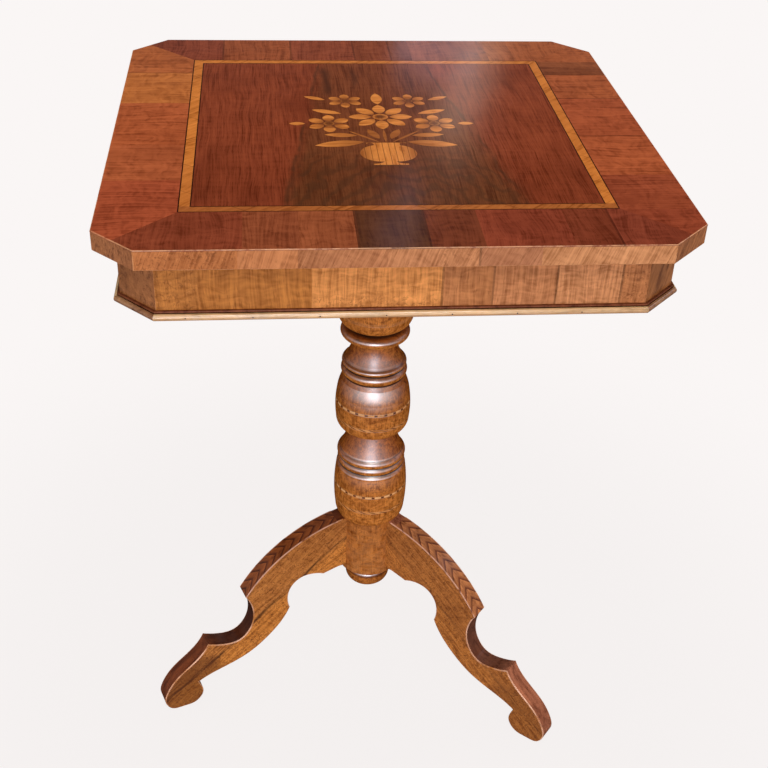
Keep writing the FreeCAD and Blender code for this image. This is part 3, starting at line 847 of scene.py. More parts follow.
@dataclass(frozen=True)
class Flutes(Overlay):
    """Engraved upright lines on the inlaid urn, and scorched sides."""

    pitch: float
    half_width: float
    scorch_share: float = 0.6
    line_share: float = 0.75
    scorch: Colour = stain(120, 62, 28)
    line: Colour = stain(74, 36, 18)

    def over(self, bench: Bench, spot: Spot, colour: Wire) -> Wire:
        """Return the colour with the lines."""
        cut = (spot.x * (math.tau / self.pitch)).sine().step(0.90, 0.99)
        sides = abs(spot.x).step(self.half_width * 0.35, self.half_width)
        colour = bench.mix(sides * self.scorch_share, colour, self.scorch)
        return bench.mix(cut * self.line_share, colour, self.line)


@dataclass(frozen=True)
class Butts(Overlay):
    """Butt joints where the strips of a band meet end to end, each strip a little different."""

    pitch: float
    dark: Colour
    dark_share: float = 0.35
    joint_share: float = 0.6
    joint: Colour = stain(92, 48, 22)

    def over(self, bench: Bench, spot: Spot, colour: Wire) -> Wire:
        """Return the colour with the strips and their joints."""
        run = (spot.x + spot.y * 1.37) / self.pitch
        strip = bench.noise(bench.vector(bench.math("FLOOR", run) * 3.7, 0.5, 0.5), 1.0, 0.0)
        colour = bench.mix(strip.step(0.3, 0.7) * self.dark_share, colour, self.dark)
        near = abs(run.fraction() - 0.5).step(0.488, 0.497)
        return bench.mix(near * self.joint_share, colour, self.joint)


@dataclass(frozen=True)
class Dashes(Overlay):
    """Pale dashes round a turned ring, with dark dots between them; some have faded."""

    pale: Colour
    dark: Colour
    count: int = 24
    slant: float = 0.0
    fade: float = 0.6
    patch: float = 0.02

    def over(self, bench: Bench, spot: Spot, colour: Wire) -> Wire:
        """Return the colour with the dashes."""
        turn = bench.math("ARCTAN2", spot.y, spot.x) * (self.count / math.tau) + spot.z * self.slant
        place = abs(turn.fraction() - 0.5)
        faded = spot.cloud(self.patch, 8.0, 2.0).step(0.38, 0.60)
        colour = bench.mix(place.step(0.335, 0.375) * 0.9, colour, self.dark)
        return bench.mix(place.step(0.345, 0.305) * (1.0 - faded * self.fade), colour, self.pale)


@dataclass(frozen=True)
class Metal:
    """Old bare metal: dull, with rust in patches."""

    name: str
    body: Colour
    rust: Colour
    rust_share: float = 0.5
    roughness: float = 0.42
    grain: float = 900.0

    def dress(self) -> bpy.types.Material:
        """Make the finish.

        Returns:
            The material.
        """
        bench = Bench.material(self.name)
        place = bench.wire("ShaderNodeTexCoord", None, None, "Object")
        scaled = bench.wire("ShaderNodeVectorMath", {"operation": "SCALE"}, {0: place, "Scale": self.grain})
        spots = bench.noise(scaled, 1.0, 4.0, 0.65)
        rusty = spots.step(0.42, 0.62) * self.rust_share
        bump = bench.wire("ShaderNodeBump", None, {"Strength": 0.3, "Distance": 0.1 * MM, "Height": spots})
        shader = bench.node("ShaderNodeBsdfPrincipled", None, {
            "Base Color": bench.mix(rusty, self.body, self.rust),
            "Metallic": 1.0 - rusty * 0.9,
            "Roughness": self.roughness + rusty * 0.35,
            "Normal": bump,
        })
        return bench.close(shader)


FIELD_WOOD = Wood(
    "field_wood", stain(122, 55, 31), deep=(0.54, 0.46, 0.40, 1.0), fair=(1.24, 1.30, 1.32, 1.0),
    streak=0.0042, stretch=16.0, ripple=0.0060, ripple_share=0.12, line=0.0015, line_share=0.48,
    wander=0.0016, blotch=0.05, blotch_share=0.50, blend=0.02)
BORDER_WOOD = Wood(
    "border_wood", stain(146, 70, 40), deep=(0.56, 0.48, 0.42, 1.0), fair=(1.22, 1.28, 1.28, 1.0),
    streak=0.007, stretch=8.0, ripple=0.0050, ripple_share=0.28, line=0.0019, line_share=0.38,
    wander=0.004, blotch=0.045, blotch_share=0.45, blend=0.02)
EDGE_WOOD = Wood(
    "edge_wood", stain(176, 114, 66), deep=(0.58, 0.50, 0.42, 1.0), fair=(1.24, 1.30, 1.32, 1.0),
    streak=0.0036, stretch=9.0, line=0.0017, line_share=0.40, ripple=0.004, ripple_share=0.2,
    wander=0.002, blotch=0.03, coat=0.35, coat_roughness=0.26, blend=0.02)
EDGE_CORNER_WOOD = Wood("edge_corner_wood", stain(156, 98, 58), streak=0.0034, stretch=8.0)
FRIEZE_WOOD = Wood(
    "frieze_wood", stain(180, 114, 60), deep=(0.56, 0.48, 0.38, 1.0), fair=(1.32, 1.36, 1.36, 1.0),
    streak=0.0042, stretch=9.0, line=0.0017, line_share=0.38, ripple=0.0036, ripple_share=0.30,
    wander=0.0025, blotch=0.030, blotch_share=0.40, coat=0.35, coat_roughness=0.26, blend=0.025)
FRIEZE_CORNER_WOOD = Wood("frieze_corner_wood", stain(158, 100, 56), streak=0.006, stretch=7.0, wander=0.005)
BAND_WOOD = Wood(
    "band_wood", stain(190, 112, 48), deep=(0.60, 0.52, 0.42, 1.0), fair=(1.16, 1.20, 1.24, 1.0),
    streak=0.005, stretch=6.0, line=0.0026, pore_share=0.4, blotch=0.025, blotch_share=0.40)
INLAY_WOOD = Wood(
    "inlay_wood", stain(196, 120, 56), deep=(0.64, 0.54, 0.44, 1.0), fair=(1.14, 1.20, 1.26, 1.0),
    streak=0.005, stretch=8.0, line=0.0024, pore_share=0.3, blotch=0.03, blotch_share=0.4)
LINE_WOOD = Wood(
    "line_wood", stain(50, 22, 12), streak=0.003, stretch=20.0, pore_share=0.2, blotch_share=0.2)
BEAD_WOOD = Wood(
    "bead_wood", stain(208, 172, 122), deep=(0.62, 0.54, 0.46, 1.0), streak=0.0040, stretch=30.0,
    line=0.0016, coat=1.0, coat_ior=1.8)
# Painted shade: a darker copy of the bead's wood for the canted corners, which face away from the light.
SHADED_CORNER_BEAD_WOOD = replace(BEAD_WOOD, name="corner_bead_wood", body=stain(142, 98, 66), coat=0.6)
COLUMN_WOOD = Wood(
    "column_wood", stain(197, 121, 52), deep=(0.36, 0.26, 0.19, 1.0), fair=(1.28, 1.38, 1.5, 1.0),
    streak=0.0045, stretch=2.6, wander=0.003, ripple=0.004, ripple_share=0.30, blotch=0.022,
    blotch_share=0.30, coat=1.45, coat_roughness=0.36, coat_ior=3.3, polish="polish", fall=4.0, blend=0.05)
LEG_WOOD = Wood(
    "leg_wood", stain(164, 98, 38), deep=(0.46, 0.37, 0.28, 1.0), fair=(1.26, 1.34, 1.40, 1.0),
    streak=0.0036, stretch=9.0, line=0.0022, line_share=0.28, ripple=0.0040, ripple_share=0.24,
    wander=0.0035, blotch=0.030, blotch_share=0.35, coat=0.30, coat_roughness=0.28, blend=0.03)
LEG_EDGE_WOOD = Wood(
    "leg_edge_wood", stain(112, 56, 28), deep=(0.50, 0.42, 0.36, 1.0), streak=0.007, stretch=9.0,
    line=0.0028, blotch=0.03, blotch_share=0.5, coat=0.35, coat_roughness=0.28)
# Painted shade: a darker wood for the small step over the bead's quirk.
SHADED_STEP_WOOD = replace(LEG_EDGE_WOOD, name="bead_step_wood", body=stain(116, 64, 38))
KNEE_WOOD = Wood(
    "knee_wood", stain(146, 78, 36), deep=(0.44, 0.36, 0.28, 1.0), streak=0.005, stretch=5.0,
    line=0.0026, blotch=0.018, blotch_share=0.65, coat=0.55, coat_roughness=0.28)
CORE_WOOD = Wood(
    "core_wood", stain(176, 132, 86), deep=(0.66, 0.60, 0.52, 1.0), streak=0.012, stretch=18.0,
    line=0.0030, roughness=0.72, coat=0.0, pore_share=0.25, blotch_share=0.5)
WEDGE_WOOD = Wood("wedge_wood", stain(150, 100, 60), streak=0.006, roughness=0.7, coat=0.0)
PIN_IRON = Metal("pin_iron", stain(58, 48, 44), stain(46, 26, 18))
SCREW_STEEL = Metal("screw_steel", stain(120, 114, 106), stain(84, 50, 30), 0.4)
WORN = stain(214, 158, 112)
# Grime and painted shade for the hollows of the turning.
GRIME_AND_SHADE = stain(46, 22, 14)

GRAIN_BACK = Lay((0, 1, 0), (1, 0, 0))
GRAIN_SIDE = Lay((1, 0, 0), (0, 1, 0))
GRAIN_UP = Lay((0, 0, 1), (1, 0, 0))


@dataclass
class Piece:
    """A piece in the making: its mesh, and where it goes."""

    name: str
    slot: str
    stands_for: tuple[str, ...]
    mesh: bmesh.types.BMesh = field(default_factory=bmesh.new)

    @classmethod
    def from_solid(cls, node: str, name: str, slot: str) -> "Piece":
        """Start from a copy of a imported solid, with its loose triangles joined into whole faces.

        Args:
            node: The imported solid's name.
            name: The new piece's name.
            slot: The material slot that it takes its finish from.

        Returns:
            The piece, which stands for the solid.
        """
        piece = cls(name, slot, (node,))
        bm = piece.mesh
        bm.from_mesh(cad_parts[node].data)
        bmesh.ops.remove_doubles(bm, verts=bm.verts, dist=WELD)
        bmesh.ops.dissolve_limit(bm, angle_limit=math.radians(0.05), verts=bm.verts, edges=bm.edges)
        for face in bm.faces:
            face.material_index = 0
        return piece

    def soften(self, test: EdgeTest, width: float, index: int, segments: int = 3,
               sharp: float = 25.0) -> None:
        """Round off the arrises that a test picks.

        Args:
            test: Says which edges.
            width: The width taken off each face.
            index: The material slot of the new faces.
            segments: How many faces make the round.
            sharp: The least angle of an arris, in degrees.
        """
        least = math.radians(sharp)
        edges = [edge for edge in self.mesh.edges
                 if edge.is_manifold and edge.calc_face_angle() > least and test(edge)]
        made = bmesh.ops.bevel(self.mesh, geom=edges, offset=width, offset_type="OFFSET", affect="EDGES",
                               segments=segments, profile=0.5, material=-1, clamp_overlap=False)
        for face in made["faces"]:
            face.material_index = index

    def paint(self, test: FaceTest, index: int) -> None:
        """Give some faces another of the piece's materials.

        Args:
            test: Says which faces.
            index: The material's slot.
        """
        for face in self.mesh.faces:
            if test(face):
                face.material_index = index

    def done(self, materials: Sequence[bpy.types.Material], sharp: float = 16.0) -> bpy.types.Object:
        """Make the object, with its finish, and set it on the frame.

        Args:
            materials: The piece's materials, by slot.
            sharp: The angle from which an edge stays sharp, in degrees.

        Returns:
            The object.
        """
        mesh = bpy.data.meshes.new(self.name)
        self.mesh.to_mesh(mesh)
        self.mesh.free()
        mesh.shade_smooth()
        mesh.set_sharp_from_angle(angle=math.radians(sharp))
        for material in materials:
            mesh.materials.append(material)
        made = bpy.data.objects.new(self.name, mesh)
        bpy.context.scene.collection.objects.link(made)
        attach(made, "root")
        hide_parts(*self.stands_for)
        LOG.info("%s: %d faces, for %s", self.name, len(mesh.polygons), ", ".join(self.stands_for))
        return made


def dress_node(node: str, material: bpy.types.Material) -> None:
    """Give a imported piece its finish.

    Args:
        node: The piece's name.
        material: Its material.
    """
    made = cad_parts[node]
    made.data.materials.clear()
    made.data.materials.append(material)
    LOG.info("%s: dressed in %s", node, material.name)


def midpoint(edge: bmesh.types.BMEdge) -> Vector:
    """Return the middle of an edge."""
    return (edge.verts[0].co + edge.verts[1].co) / 2


@dataclass
class TopSlab:
    """The slab: crossbanded border, stringing, field with inlay, and lipped edge."""

    level: float = 753.0 * MM
    half: float = 275.0 * MM
    corner_cut: float = 39.2 * MM
    edge_round: float = 0.8 * MM
    top_clearance: float = 1.5 * MM
    lip_depth: float = 2.0 * MM
    lip_round: float = 0.7 * MM
    lip_leaf: float = 85.0 * MM
    lip_slant: tuple[float, float] = (0.36, 0.93)
    inlay_size: float = 205.0 * MM

    def build(self) -> None:
        """Build and dress every piece of the slab."""
        for side in Side:
            self.border(side)
        self.lippings()
        self.dress_field()
        self.stringing()
        self.inlay()

    def border_leaves(self, side: Side) -> LeafRun:
        """Lay out the leaves of one border, with its joints where the real one has them.

        Args:
            side: The border's side.

        Returns:
            The leaves.
        """
        joints, tones = {
            Side.FRONT: (
                (-145, -95, -45, 17, 65, 145, 187),
                ((122, 56, 34), (130, 66, 39), (138, 72, 42), (80, 43, 24), (102, 48, 28), (122, 54, 34),
                 (112, 50, 30), (120, 54, 35)),
            ),
            Side.LEFT: (
                (-135, -50, 64, 157),
                ((146, 67, 40), (156, 79, 45), (160, 80, 44), (172, 98, 48), (158, 84, 44)),
            ),
            Side.RIGHT: (
                (-205, -128, -30, 77, 152, 196),
                ((128, 57, 35), (136, 63, 38), (154, 76, 43), (148, 71, 41), (150, 76, 42), (124, 65, 36),
                 (146, 76, 42)),
            ),
            Side.BACK: (
                (-170, -90, -15, 28, 52, 145),
                ((118, 54, 34), (138, 70, 40), (126, 60, 37), (120, 58, 34), (110, 55, 33), (128, 66, 40),
                 (144, 76, 43)),
            ),
        }[side]
        places = tuple(place * MM for place in joints)
        return LeafRun(tuple(side.run), -self.half, self.half, places, stains(*tones), seed=side.value + 3)

    def on_cant(self, spot: Vector) -> bool:
        """Tell whether a spot is on a canted corner of the rim."""
        return abs(spot.x) + abs(spot.y) > self.half * 2 - self.corner_cut - NEAR

    def border(self, side: Side) -> None:
        """Build one length of border, its outer edge rubbed round.

        Args:
            side: The border's side.
        """
        piece = Piece.from_solid(f"border_{side.label}", f"border_veneer_{side.label}", "border_veneer")

        def outer(edge: bmesh.types.BMEdge) -> bool:
            """Tell whether an edge is on the slab's rim, at the top."""
            spot = midpoint(edge)
            rim = spot.dot(side.outward) > self.half - NEAR or self.on_cant(spot)
            return rim and min(vert.co.z for vert in edge.verts) > self.level - NEAR

        piece.soften(outer, self.edge_round, 1)
        lay = GRAIN_BACK if side in (Side.FRONT, Side.BACK) else GRAIN_SIDE
        leaves = self.border_leaves(side)
        rubbed = Rubbed(WORN, share=0.6, patch=0.012, least=0.3)
        veneer = BORDER_WOOD.dress(f"border_{side.label}_veneer", lay, leaves)
        worn = BORDER_WOOD.dress(f"border_{side.label}_worn", lay, leaves, (rubbed,))
        piece.done((veneer, worn))

    def lip_leaves(self, side: Side) -> LeafRun:
        """Lay out the leaves of one edge, with the front's joints where the real one has them.

        Args:
            side: The edge's side.

        Returns:
            The leaves.
        """
        if side is Side.FRONT:
            joints = (-0.150, -0.098, -0.020, 0.060, 0.115)
            tones = stains((176, 108, 60), (184, 118, 72), (172, 112, 72), (180, 120, 78), (168, 110, 74),
                           (194, 134, 88))
            return LeafRun((1, 0, 0), -self.half, self.half, joints, tones, seed=5)
        tones = stains((168, 104, 58), (178, 116, 72), (186, 126, 84), (172, 110, 68))
        return LeafRun.matched(tuple(side.run), self.half, tones, self.lip_leaf, 20 + side.value)

    def lippings(self) -> None:
        """Build the slab's edge: slanting cross-grain veneer, with rubbed arrises."""
        piece = Piece.from_solid("edge_sides", "slab_edge", "edge_veneer")
        for side in Side:
            piece.paint(lambda face, side=side: self.in_lip(face, side), side.value)
        piece.soften(self.lower_arris, self.lip_round, len(Side))
        aside, rise = self.lip_slant
        up = Vector((0, 0, 1))
        materials = []
        for side in Side:
            run = tuple(side.run)
            lay = Lay(tuple(side.run * aside + up * rise), tuple(side.run * rise - up * aside))
            burls = (Burl(run, -0.26, -0.145), Burl(run, 0.02, 0.06, share=0.4))
            materials.append(EDGE_WOOD.dress(f"slab_edge_{side.label}", lay, self.lip_leaves(side), burls))
        rubbed = Rubbed(WORN, share=0.7, patch=0.01)
        materials.append(EDGE_WOOD.dress("slab_edge_worn", GRAIN_UP, None, (rubbed,)))
        piece.done(materials)
        corner = Piece.from_solid("edge_corners", "slab_edge_corners", "edge_veneer")
        corner.soften(self.lower_arris, self.lip_round, 1)
        slanting = Lay((0.3, 0.3, 0.9), (0.7, -0.7, 0.0))
        corner.done((EDGE_CORNER_WOOD.dress("slab_edge_corners", slanting), materials[-1]))

    def in_lip(self, face: bmesh.types.BMFace, side: Side) -> bool:
        """Tell whether a face of the lipping is on one side of the slab."""
        return face.calc_center_median().dot(side.outward) > self.half - self.lip_depth

    def lower_arris(self, edge: bmesh.types.BMEdge) -> bool:
        """Pick the lipping's arrises to rub.

        Args:
            edge: An edge of the lipping.

        Returns:
            Whether it is an outer arris below the top.
        """
        spot = midpoint(edge)
        rim = max(abs(spot.x), abs(spot.y)) > self.half - NEAR or self.on_cant(spot)
        below = max(vert.co.z for vert in edge.verts) < self.level - self.top_clearance
        return rim and (below or self.upright(edge))

    @staticmethod
    def upright(edge: bmesh.types.BMEdge) -> bool:
        """Tell whether an edge stands upright."""
        way = edge.verts[1].co - edge.verts[0].co
        return abs(way.z) > 0.9 * way.length

    def dress_field(self) -> None:
        """Dress the field: reddish walnut with a flame at the front and dark veins behind."""
        overlays = (
            Wash((0, -1, 0), 0.07, 0.30, (0.84, 0.80, 0.78, 1.0), share=0.9, soft=0.05),
            Flame((0.66, 1.0, 0.92, 1.0)),
            DarkVein(-0.052, 0.075, 0.19, width=0.009, share=0.7),
            DarkVein(-0.020, 0.10, 0.185, width=0.006, share=0.5),
            DarkVein(0.040, 0.02, 0.19, width=0.010, share=0.3),
        )
        dress_node("field_veneer", FIELD_WOOD.dress("field_veneer", GRAIN_BACK, None, overlays))

    def stringing(self) -> None:
        """Dress the pale band and the dark lines on both its sides."""
        slanting = Lay((0.71, 0.70, 0), (0.70, -0.71, 0))
        overlays = (
            Butts(0.083, stain(158, 88, 40)),
            Wash((0, -1, 0), 0.188, 0.30, (0.66, 0.62, 0.76, 1.0), share=1.0, soft=0.004),
        )
        dress_node("band_pale", BAND_WOOD.dress("pale_band", slanting, None, overlays))
        line = LINE_WOOD.dress("dark_line", GRAIN_BACK)
        for node in ("line_outer", "line_inner"):
            dress_node(node, line)

    def inlay(self) -> None:
        """Dress the urn, its flowers and leaves."""
        size = self.inlay_size
        flowers = ((0.0, 0.12), (0.27, 0.03), (-0.27, 0.03), (0.17, 0.345), (-0.17, 0.345))
        centres = tuple((across * size, along * size) for across, along in flowers)
        scorch = stain(112, 56, 26)
        for word, lay, overlay in (
            ("petals", GRAIN_SIDE, SandShade(centres, 0.020, scorch)),
            ("hearts", GRAIN_BACK, SandShade(centres, 0.009, stain(84, 40, 20), share=0.9)),
            ("leaves", GRAIN_SIDE, SandShade(((0.0, -0.2 * size),), 0.075, scorch, share=0.65)),
            ("urn", GRAIN_BACK, Flutes(0.0062, 0.13 * size)),
        ):
            dress_node(f"motif_{word}", INLAY_WOOD.dress(f"inlay_{word}", lay, None, (overlay,)))


@dataclass
class Frieze:
    """The frieze under the slab: veneered faces, bead with pins, and the carcass behind.

    The corner reach is the least distance from the world's middle to the outer arrises of the corners.
    """

    half: float = 255.9 * MM
    bottom: float = 674.9 * MM
    arris: float = 0.5 * MM
    leaf_width: float = 95.0 * MM
    burl_height: float = 26.0 * MM
    corner_reach: float = 790.0 * MM
    quirk_low: float = 6.6 * MM
    quirk_high: float = 7.4 * MM
    shade_height: float = 4.6 * MM
    bead_sharp: float = 32.0

    def build(self) -> None:
        """Build and dress every piece of the frieze."""
        for side in Side:
            self.face(side)
        self.corner_faces()
        self.beads()
        self.carcass()

    def leaves(self, side: Side) -> LeafRun:
        """Lay out the leaves of one face, with the front's joints where the real one has them.

        Args:
            side: The face's side.

        Returns:
            The leaves.
        """
        if side is Side.FRONT:
            joints = (-0.185, -0.0855, 0.032, 0.078, 0.136, 0.196)
            tones = stains((176, 112, 53), (176, 111, 51), (208, 138, 74), (176, 114, 68), (182, 120, 76),
                           (192, 130, 84), (172, 110, 66))
            return LeafRun((1, 0, 0), -self.half, self.half, joints, tones, seed=9)
        tones = stains((176, 110, 58), (184, 118, 66), (200, 130, 74), (170, 106, 60))
        return LeafRun.matched(tuple(side.run), self.half, tones, self.leaf_width, 40 + side.value)

    def face(self, side: Side) -> None:
        """Build one face of veneer with rubbed upright arrises.

        Args:
            side: The face's side.
        """
        piece = Piece.from_solid(f"frieze_{side.label}", f"frieze_veneer_{side.label}", "frieze_veneer")

        def outer(edge: bmesh.types.BMEdge) -> bool:
            """Tell whether an edge is an outer upright arris."""
            return TopSlab.upright(edge) and midpoint(edge).dot(side.outward) > self.half - NEAR

        piece.soften(outer, self.arris, 1)
        run = tuple(side.run)
        lay = Lay((0, 0, 1), run)
        burls = (Burl(run, -0.26, -0.180), Burl(run, 0.190, 0.26),
                 Burl(run, -0.09, 0.035, self.bottom + self.burl_height))
        veneer = FRIEZE_WOOD.dress(f"frieze_{side.label}_veneer", lay, self.leaves(side), burls)
        worn = FRIEZE_WOOD.dress(f"frieze_{side.label}_worn", lay, None, (Rubbed(WORN, 0.6),))
        piece.done((veneer, worn))

    def corner_faces(self) -> None:
        """Build the veneer of the canted corners, with a slanting flame."""
        piece = Piece.from_solid("frieze_corners", "frieze_veneer_corners", "frieze_veneer")
        piece.soften(lambda edge: TopSlab.upright(edge) and midpoint(edge).length > self.corner_reach,
                     self.arris, 1)
        lay = Lay((0.35, 0.35, 0.87), (0.62, 0.62, -0.49))
        veneer = FRIEZE_CORNER_WOOD.dress("frieze_corner_veneer", lay)
        worn = FRIEZE_CORNER_WOOD.dress("frieze_corner_worn", lay, None, (Rubbed(WORN, 0.6),))
        piece.done((veneer, worn))

    def beads(self) -> None:
        """Build the bead round the lower edge: polished half round, grime and painted shade in its quirk,
        and iron pins.
        """
        # The quirk's faces take the dark line wood: grime and painted shade in the sunk line.
        grime = LINE_WOOD.dress("bead_grime", GRAIN_UP)
        step = SHADED_STEP_WOOD.dress("bead_step", GRAIN_UP)
        # Painted shade: the lower part of the bead, which faces down, is darkened.
        shade = Wash((0, 0, 1), self.bottom - 0.01, self.bottom + self.shade_height, (0.66, 0.54, 0.44, 1.0),
                     share=0.9, soft=0.0024)
        for label in [side.label for side in Side] + ["corners"]:
            piece = Piece.from_solid(f"bead_{label}", f"bead_moulding_{label}", "bead_wood")
            piece.paint(self.in_quirk, 1)
            # The step above the quirk takes the darker wood: painted shade.
            piece.paint(self.on_step, 2)
            lay = GRAIN_BACK if label in ("left", "right") else GRAIN_SIDE
            # The canted corners take the darker copy of the bead's wood: painted shade.
            finish, share = (SHADED_CORNER_BEAD_WOOD, 0.2) if label == "corners" else (BEAD_WOOD, 0.5)
            worn = Rubbed(stain(226, 176, 120), share)
            wood = finish.dress(f"bead_{label}_wood", lay, None, (worn, shade))
            piece.done((wood, grime, step), self.bead_sharp)
        dress_node("bead_pins", PIN_IRON.dress())

    def on_step(self, face: bmesh.types.BMFace) -> bool:
        """Tell whether a face lies on the small step over the bead's sunk line."""
        return face.calc_center_median().z - self.bottom > self.quirk_high + NEAR

    def in_quirk(self, face: bmesh.types.BMFace) -> bool:
        """Tell whether a face lies in the sunk line of the bead."""
        level = face.calc_center_median().z - self.bottom
        return self.quirk_low - NEAR < level < self.quirk_high + NEAR

    def carcass(self) -> None:
        """Dress the unpolished wood that nobody is meant to see, and its screws."""
        for node, word, lay in (
            ("rail_front", "rail_front", GRAIN_SIDE), ("rail_right", "rail_right", GRAIN_BACK),
            ("rail_back", "rail_back", GRAIN_SIDE), ("rail_left", "rail_left", GRAIN_BACK),
            ("top_core", "core", GRAIN_BACK), ("corner_blocks", "corner_block", GRAIN_UP),
            ("glue_blocks", "glue_block", GRAIN_SIDE), ("bearer", "bearer", GRAIN_SIDE),
        ):
            dress_node(node, CORE_WOOD.dress(f"{word}_deal", lay))
        dress_node("bearer_screws", SCREW_STEEL.dress())


@dataclass
class Turning:
    """A turned outline, in radius and level, and what is spun from it."""

    steps: int = 120
    arc_step: float = 0.9 * MM
    points: list[Vector] = field(default_factory=list)

    def line_to(self, radius: float, level: float) -> None:
        """Go straight to a point."""
        self.points.append(Vector((radius, 0, level)))

    def arc_to(self, via: tuple[float, float], end: tuple[float, float]) -> None:
        """Go to a point on the arc through another.

        Args:
            via: Radius and level of a point on the arc.
            end: Radius and level of the arc's end.
        """
        start, middle, last = self.points[-1], Vector((via[0], 0, via[1])), Vector((end[0], 0, end[1]))
        centre = circle_centre(start, middle, last)
        angles = [math.atan2(spot.z - centre.z, spot.x - centre.x) for spot in (start, middle, last)]
        sweep = (angles[2] - angles[0]) % math.tau
        if (angles[1] - angles[0]) % math.tau > sweep:
            sweep -= math.tau
        radius = (start - centre).length
        count = max(4, math.ceil(abs(sweep) * radius / self.arc_step))
        for number in range(1, count + 1):
            angle = angles[0] + sweep * number / count
            self.line_to(centre.x + radius * math.cos(angle), centre.z + radius * math.sin(angle))

    def follow(self, rows: Sequence[Sequence[float]],
               place: Callable[[float, float], tuple[float, float]]) -> None:
        """Go along rows of shares.

        Args:
            rows: Two shares are a point to go straight to; four are a point on an arc, and its end.
            place: Gives a point's radius and level from its shares.
        """
        for shares in rows:
            end = place(*shares[-2:])
            if len(shares) == 2:
                self.line_to(*end)
            else:
                self.arc_to(place(*shares[:2]), end)

    def radius_at(self, level: float) -> float:
        """Measure the outline at a level.

        Args:
            level: The level.

        Returns:
            The radius where the outline first crosses it.
        """
        for before, after in zip(self.points, self.points[1:]):
            if before.z <= level <= after.z and after.z > before.z:
                share = (level - before.z) / (after.z - before.z)
                return before.x + share * (after.x - before.x)
        raise ValueError(f"the outline has no level {level}")

    def groove(self, low: float, high: float, depth_radius: float) -> list[Vector]:
        """Cut a groove between two levels into the outline.

        Args:
            low: The groove's lower wall.
            high: Its upper wall.
            depth_radius: The radius of its floor.

        Returns:
            The outline of the ring that fills it.
        """
        ends = [Vector((self.radius_at(level), 0, level)) for level in (low, high)]
        inside = [spot for spot in self.points if low < spot.z < high]
        wide = depth_radius * 0.8
        first = next(index for index, spot in enumerate(self.points) if spot.z > low and spot.x > wide)
        floor = [Vector((depth_radius, 0, level)) for level in (low, high)]
        self.points[first:first + len(inside)] = [ends[0], floor[0], floor[1], ends[1]]
        return [floor[0], ends[0], *inside, ends[1], floor[1]]

    def relief(self, index: int, window: float = 2.2 * MM, sharp: float = 0.9) -> float:
        """Measure how the outline turns about a point.

        Args:
            index: The point's number.
            window: How far on both sides its turns are counted.
            sharp: The turn that counts as sharp, in radians.

        Returns:
            1 on a sharp crest, and -1 in a tight hollow.
        """
        here = self.points[index]
        turn = 0.0
        for number in range(1, len(self.points) - 1):
            spot = self.points[number]
            away = (spot - here).length
            if away < window:
                before = spot - self.points[number - 1]
                after = self.points[number + 1] - spot
                bend = before.x * after.z - before.z * after.x
                size = before.length * after.length
                turn += math.asin(max(-1.0, min(1.0, bend / size))) * (1 - away / window)
        return max(-1.0, min(1.0, turn / sharp))

    def shoulder(self, index: int) -> float:
        """Return how far the surface at a point looks up: 1 for a flat top, -1 for an underside."""
        way = self.points[min(index + 1, len(self.points) - 1)] - self.points[max(index - 1, 0)]
        return -math.copysign(way.x, way.x * way.z) / max(way.length, 1e-9)

    def polish(self, index: int, window: float = 9.0 * MM, hollow: float = 0.05, soft: float = 0.07,
               least: float = 0.34) -> float:
        """Tell how much polish a point has kept: its shoulder, and less of it in the long hollows.

        Args:
            index: The point's number.
            window: How far on both sides the hollow is looked for.
            hollow: How far below 0 the relief of a long hollow lies.
            soft: How much relief lies between a hollow and a round.
            least: The share that a hollow keeps.

        Returns:
            The polish, as the shoulder is measured.
        """
        round_share = max(0.0, min(1.0, (self.relief(index, window) + hollow) / soft))
        return self.shoulder(index) * (least + (1.0 - least) * round_share)

    def spun(self, piece: Piece) -> Piece:
        """Spin the outline about the column's axis, and keep its relief on the mesh.

        Args:
            piece: The piece that takes the mesh.

        Returns:
            The same piece.
        """
        bm = piece.mesh
        measures = {bm.verts.layers.float.new(word): getattr(self, word)
                    for word in ("relief", "shoulder", "polish")}
        verts = []
        for index, spot in enumerate(self.points):
            vert = bm.verts.new(spot)
            for layer, measure in measures.items():
                vert[layer] = measure(index)
            verts.append(vert)
        edges = [bm.edges.new(pair) for pair in zip(verts, verts[1:])]
        bmesh.ops.spin(bm, geom=verts + edges, cent=(0, 0, 0), axis=(0, 0, 1), dvec=(0, 0, 0),
                       angle=math.tau, steps=self.steps, use_merge=True)
        bmesh.ops.remove_doubles(bm, verts=bm.verts, dist=WELD)
        bmesh.ops.recalc_face_normals(bm, faces=bm.faces)
        return piece


def circle_centre(first: Vector, second: Vector, third: Vector) -> Vector:
    """Find the circle through three points of the upright plane.

    Args:
        first: A point.
        second: Another.
        third: A third, not in line with them.

    Returns:
        The circle's centre.
    """
    a, b = second - first, third - first
    cross = 2 * (a.x * b.z - a.z * b.x)
    across = (b.z * (a.x**2 + a.z**2) - a.z * (b.x**2 + b.z**2)) / cross
    up = (a.x * (b.x**2 + b.z**2) - b.x * (a.x**2 + a.z**2)) / cross
    return first + Vector((across, 0, up))


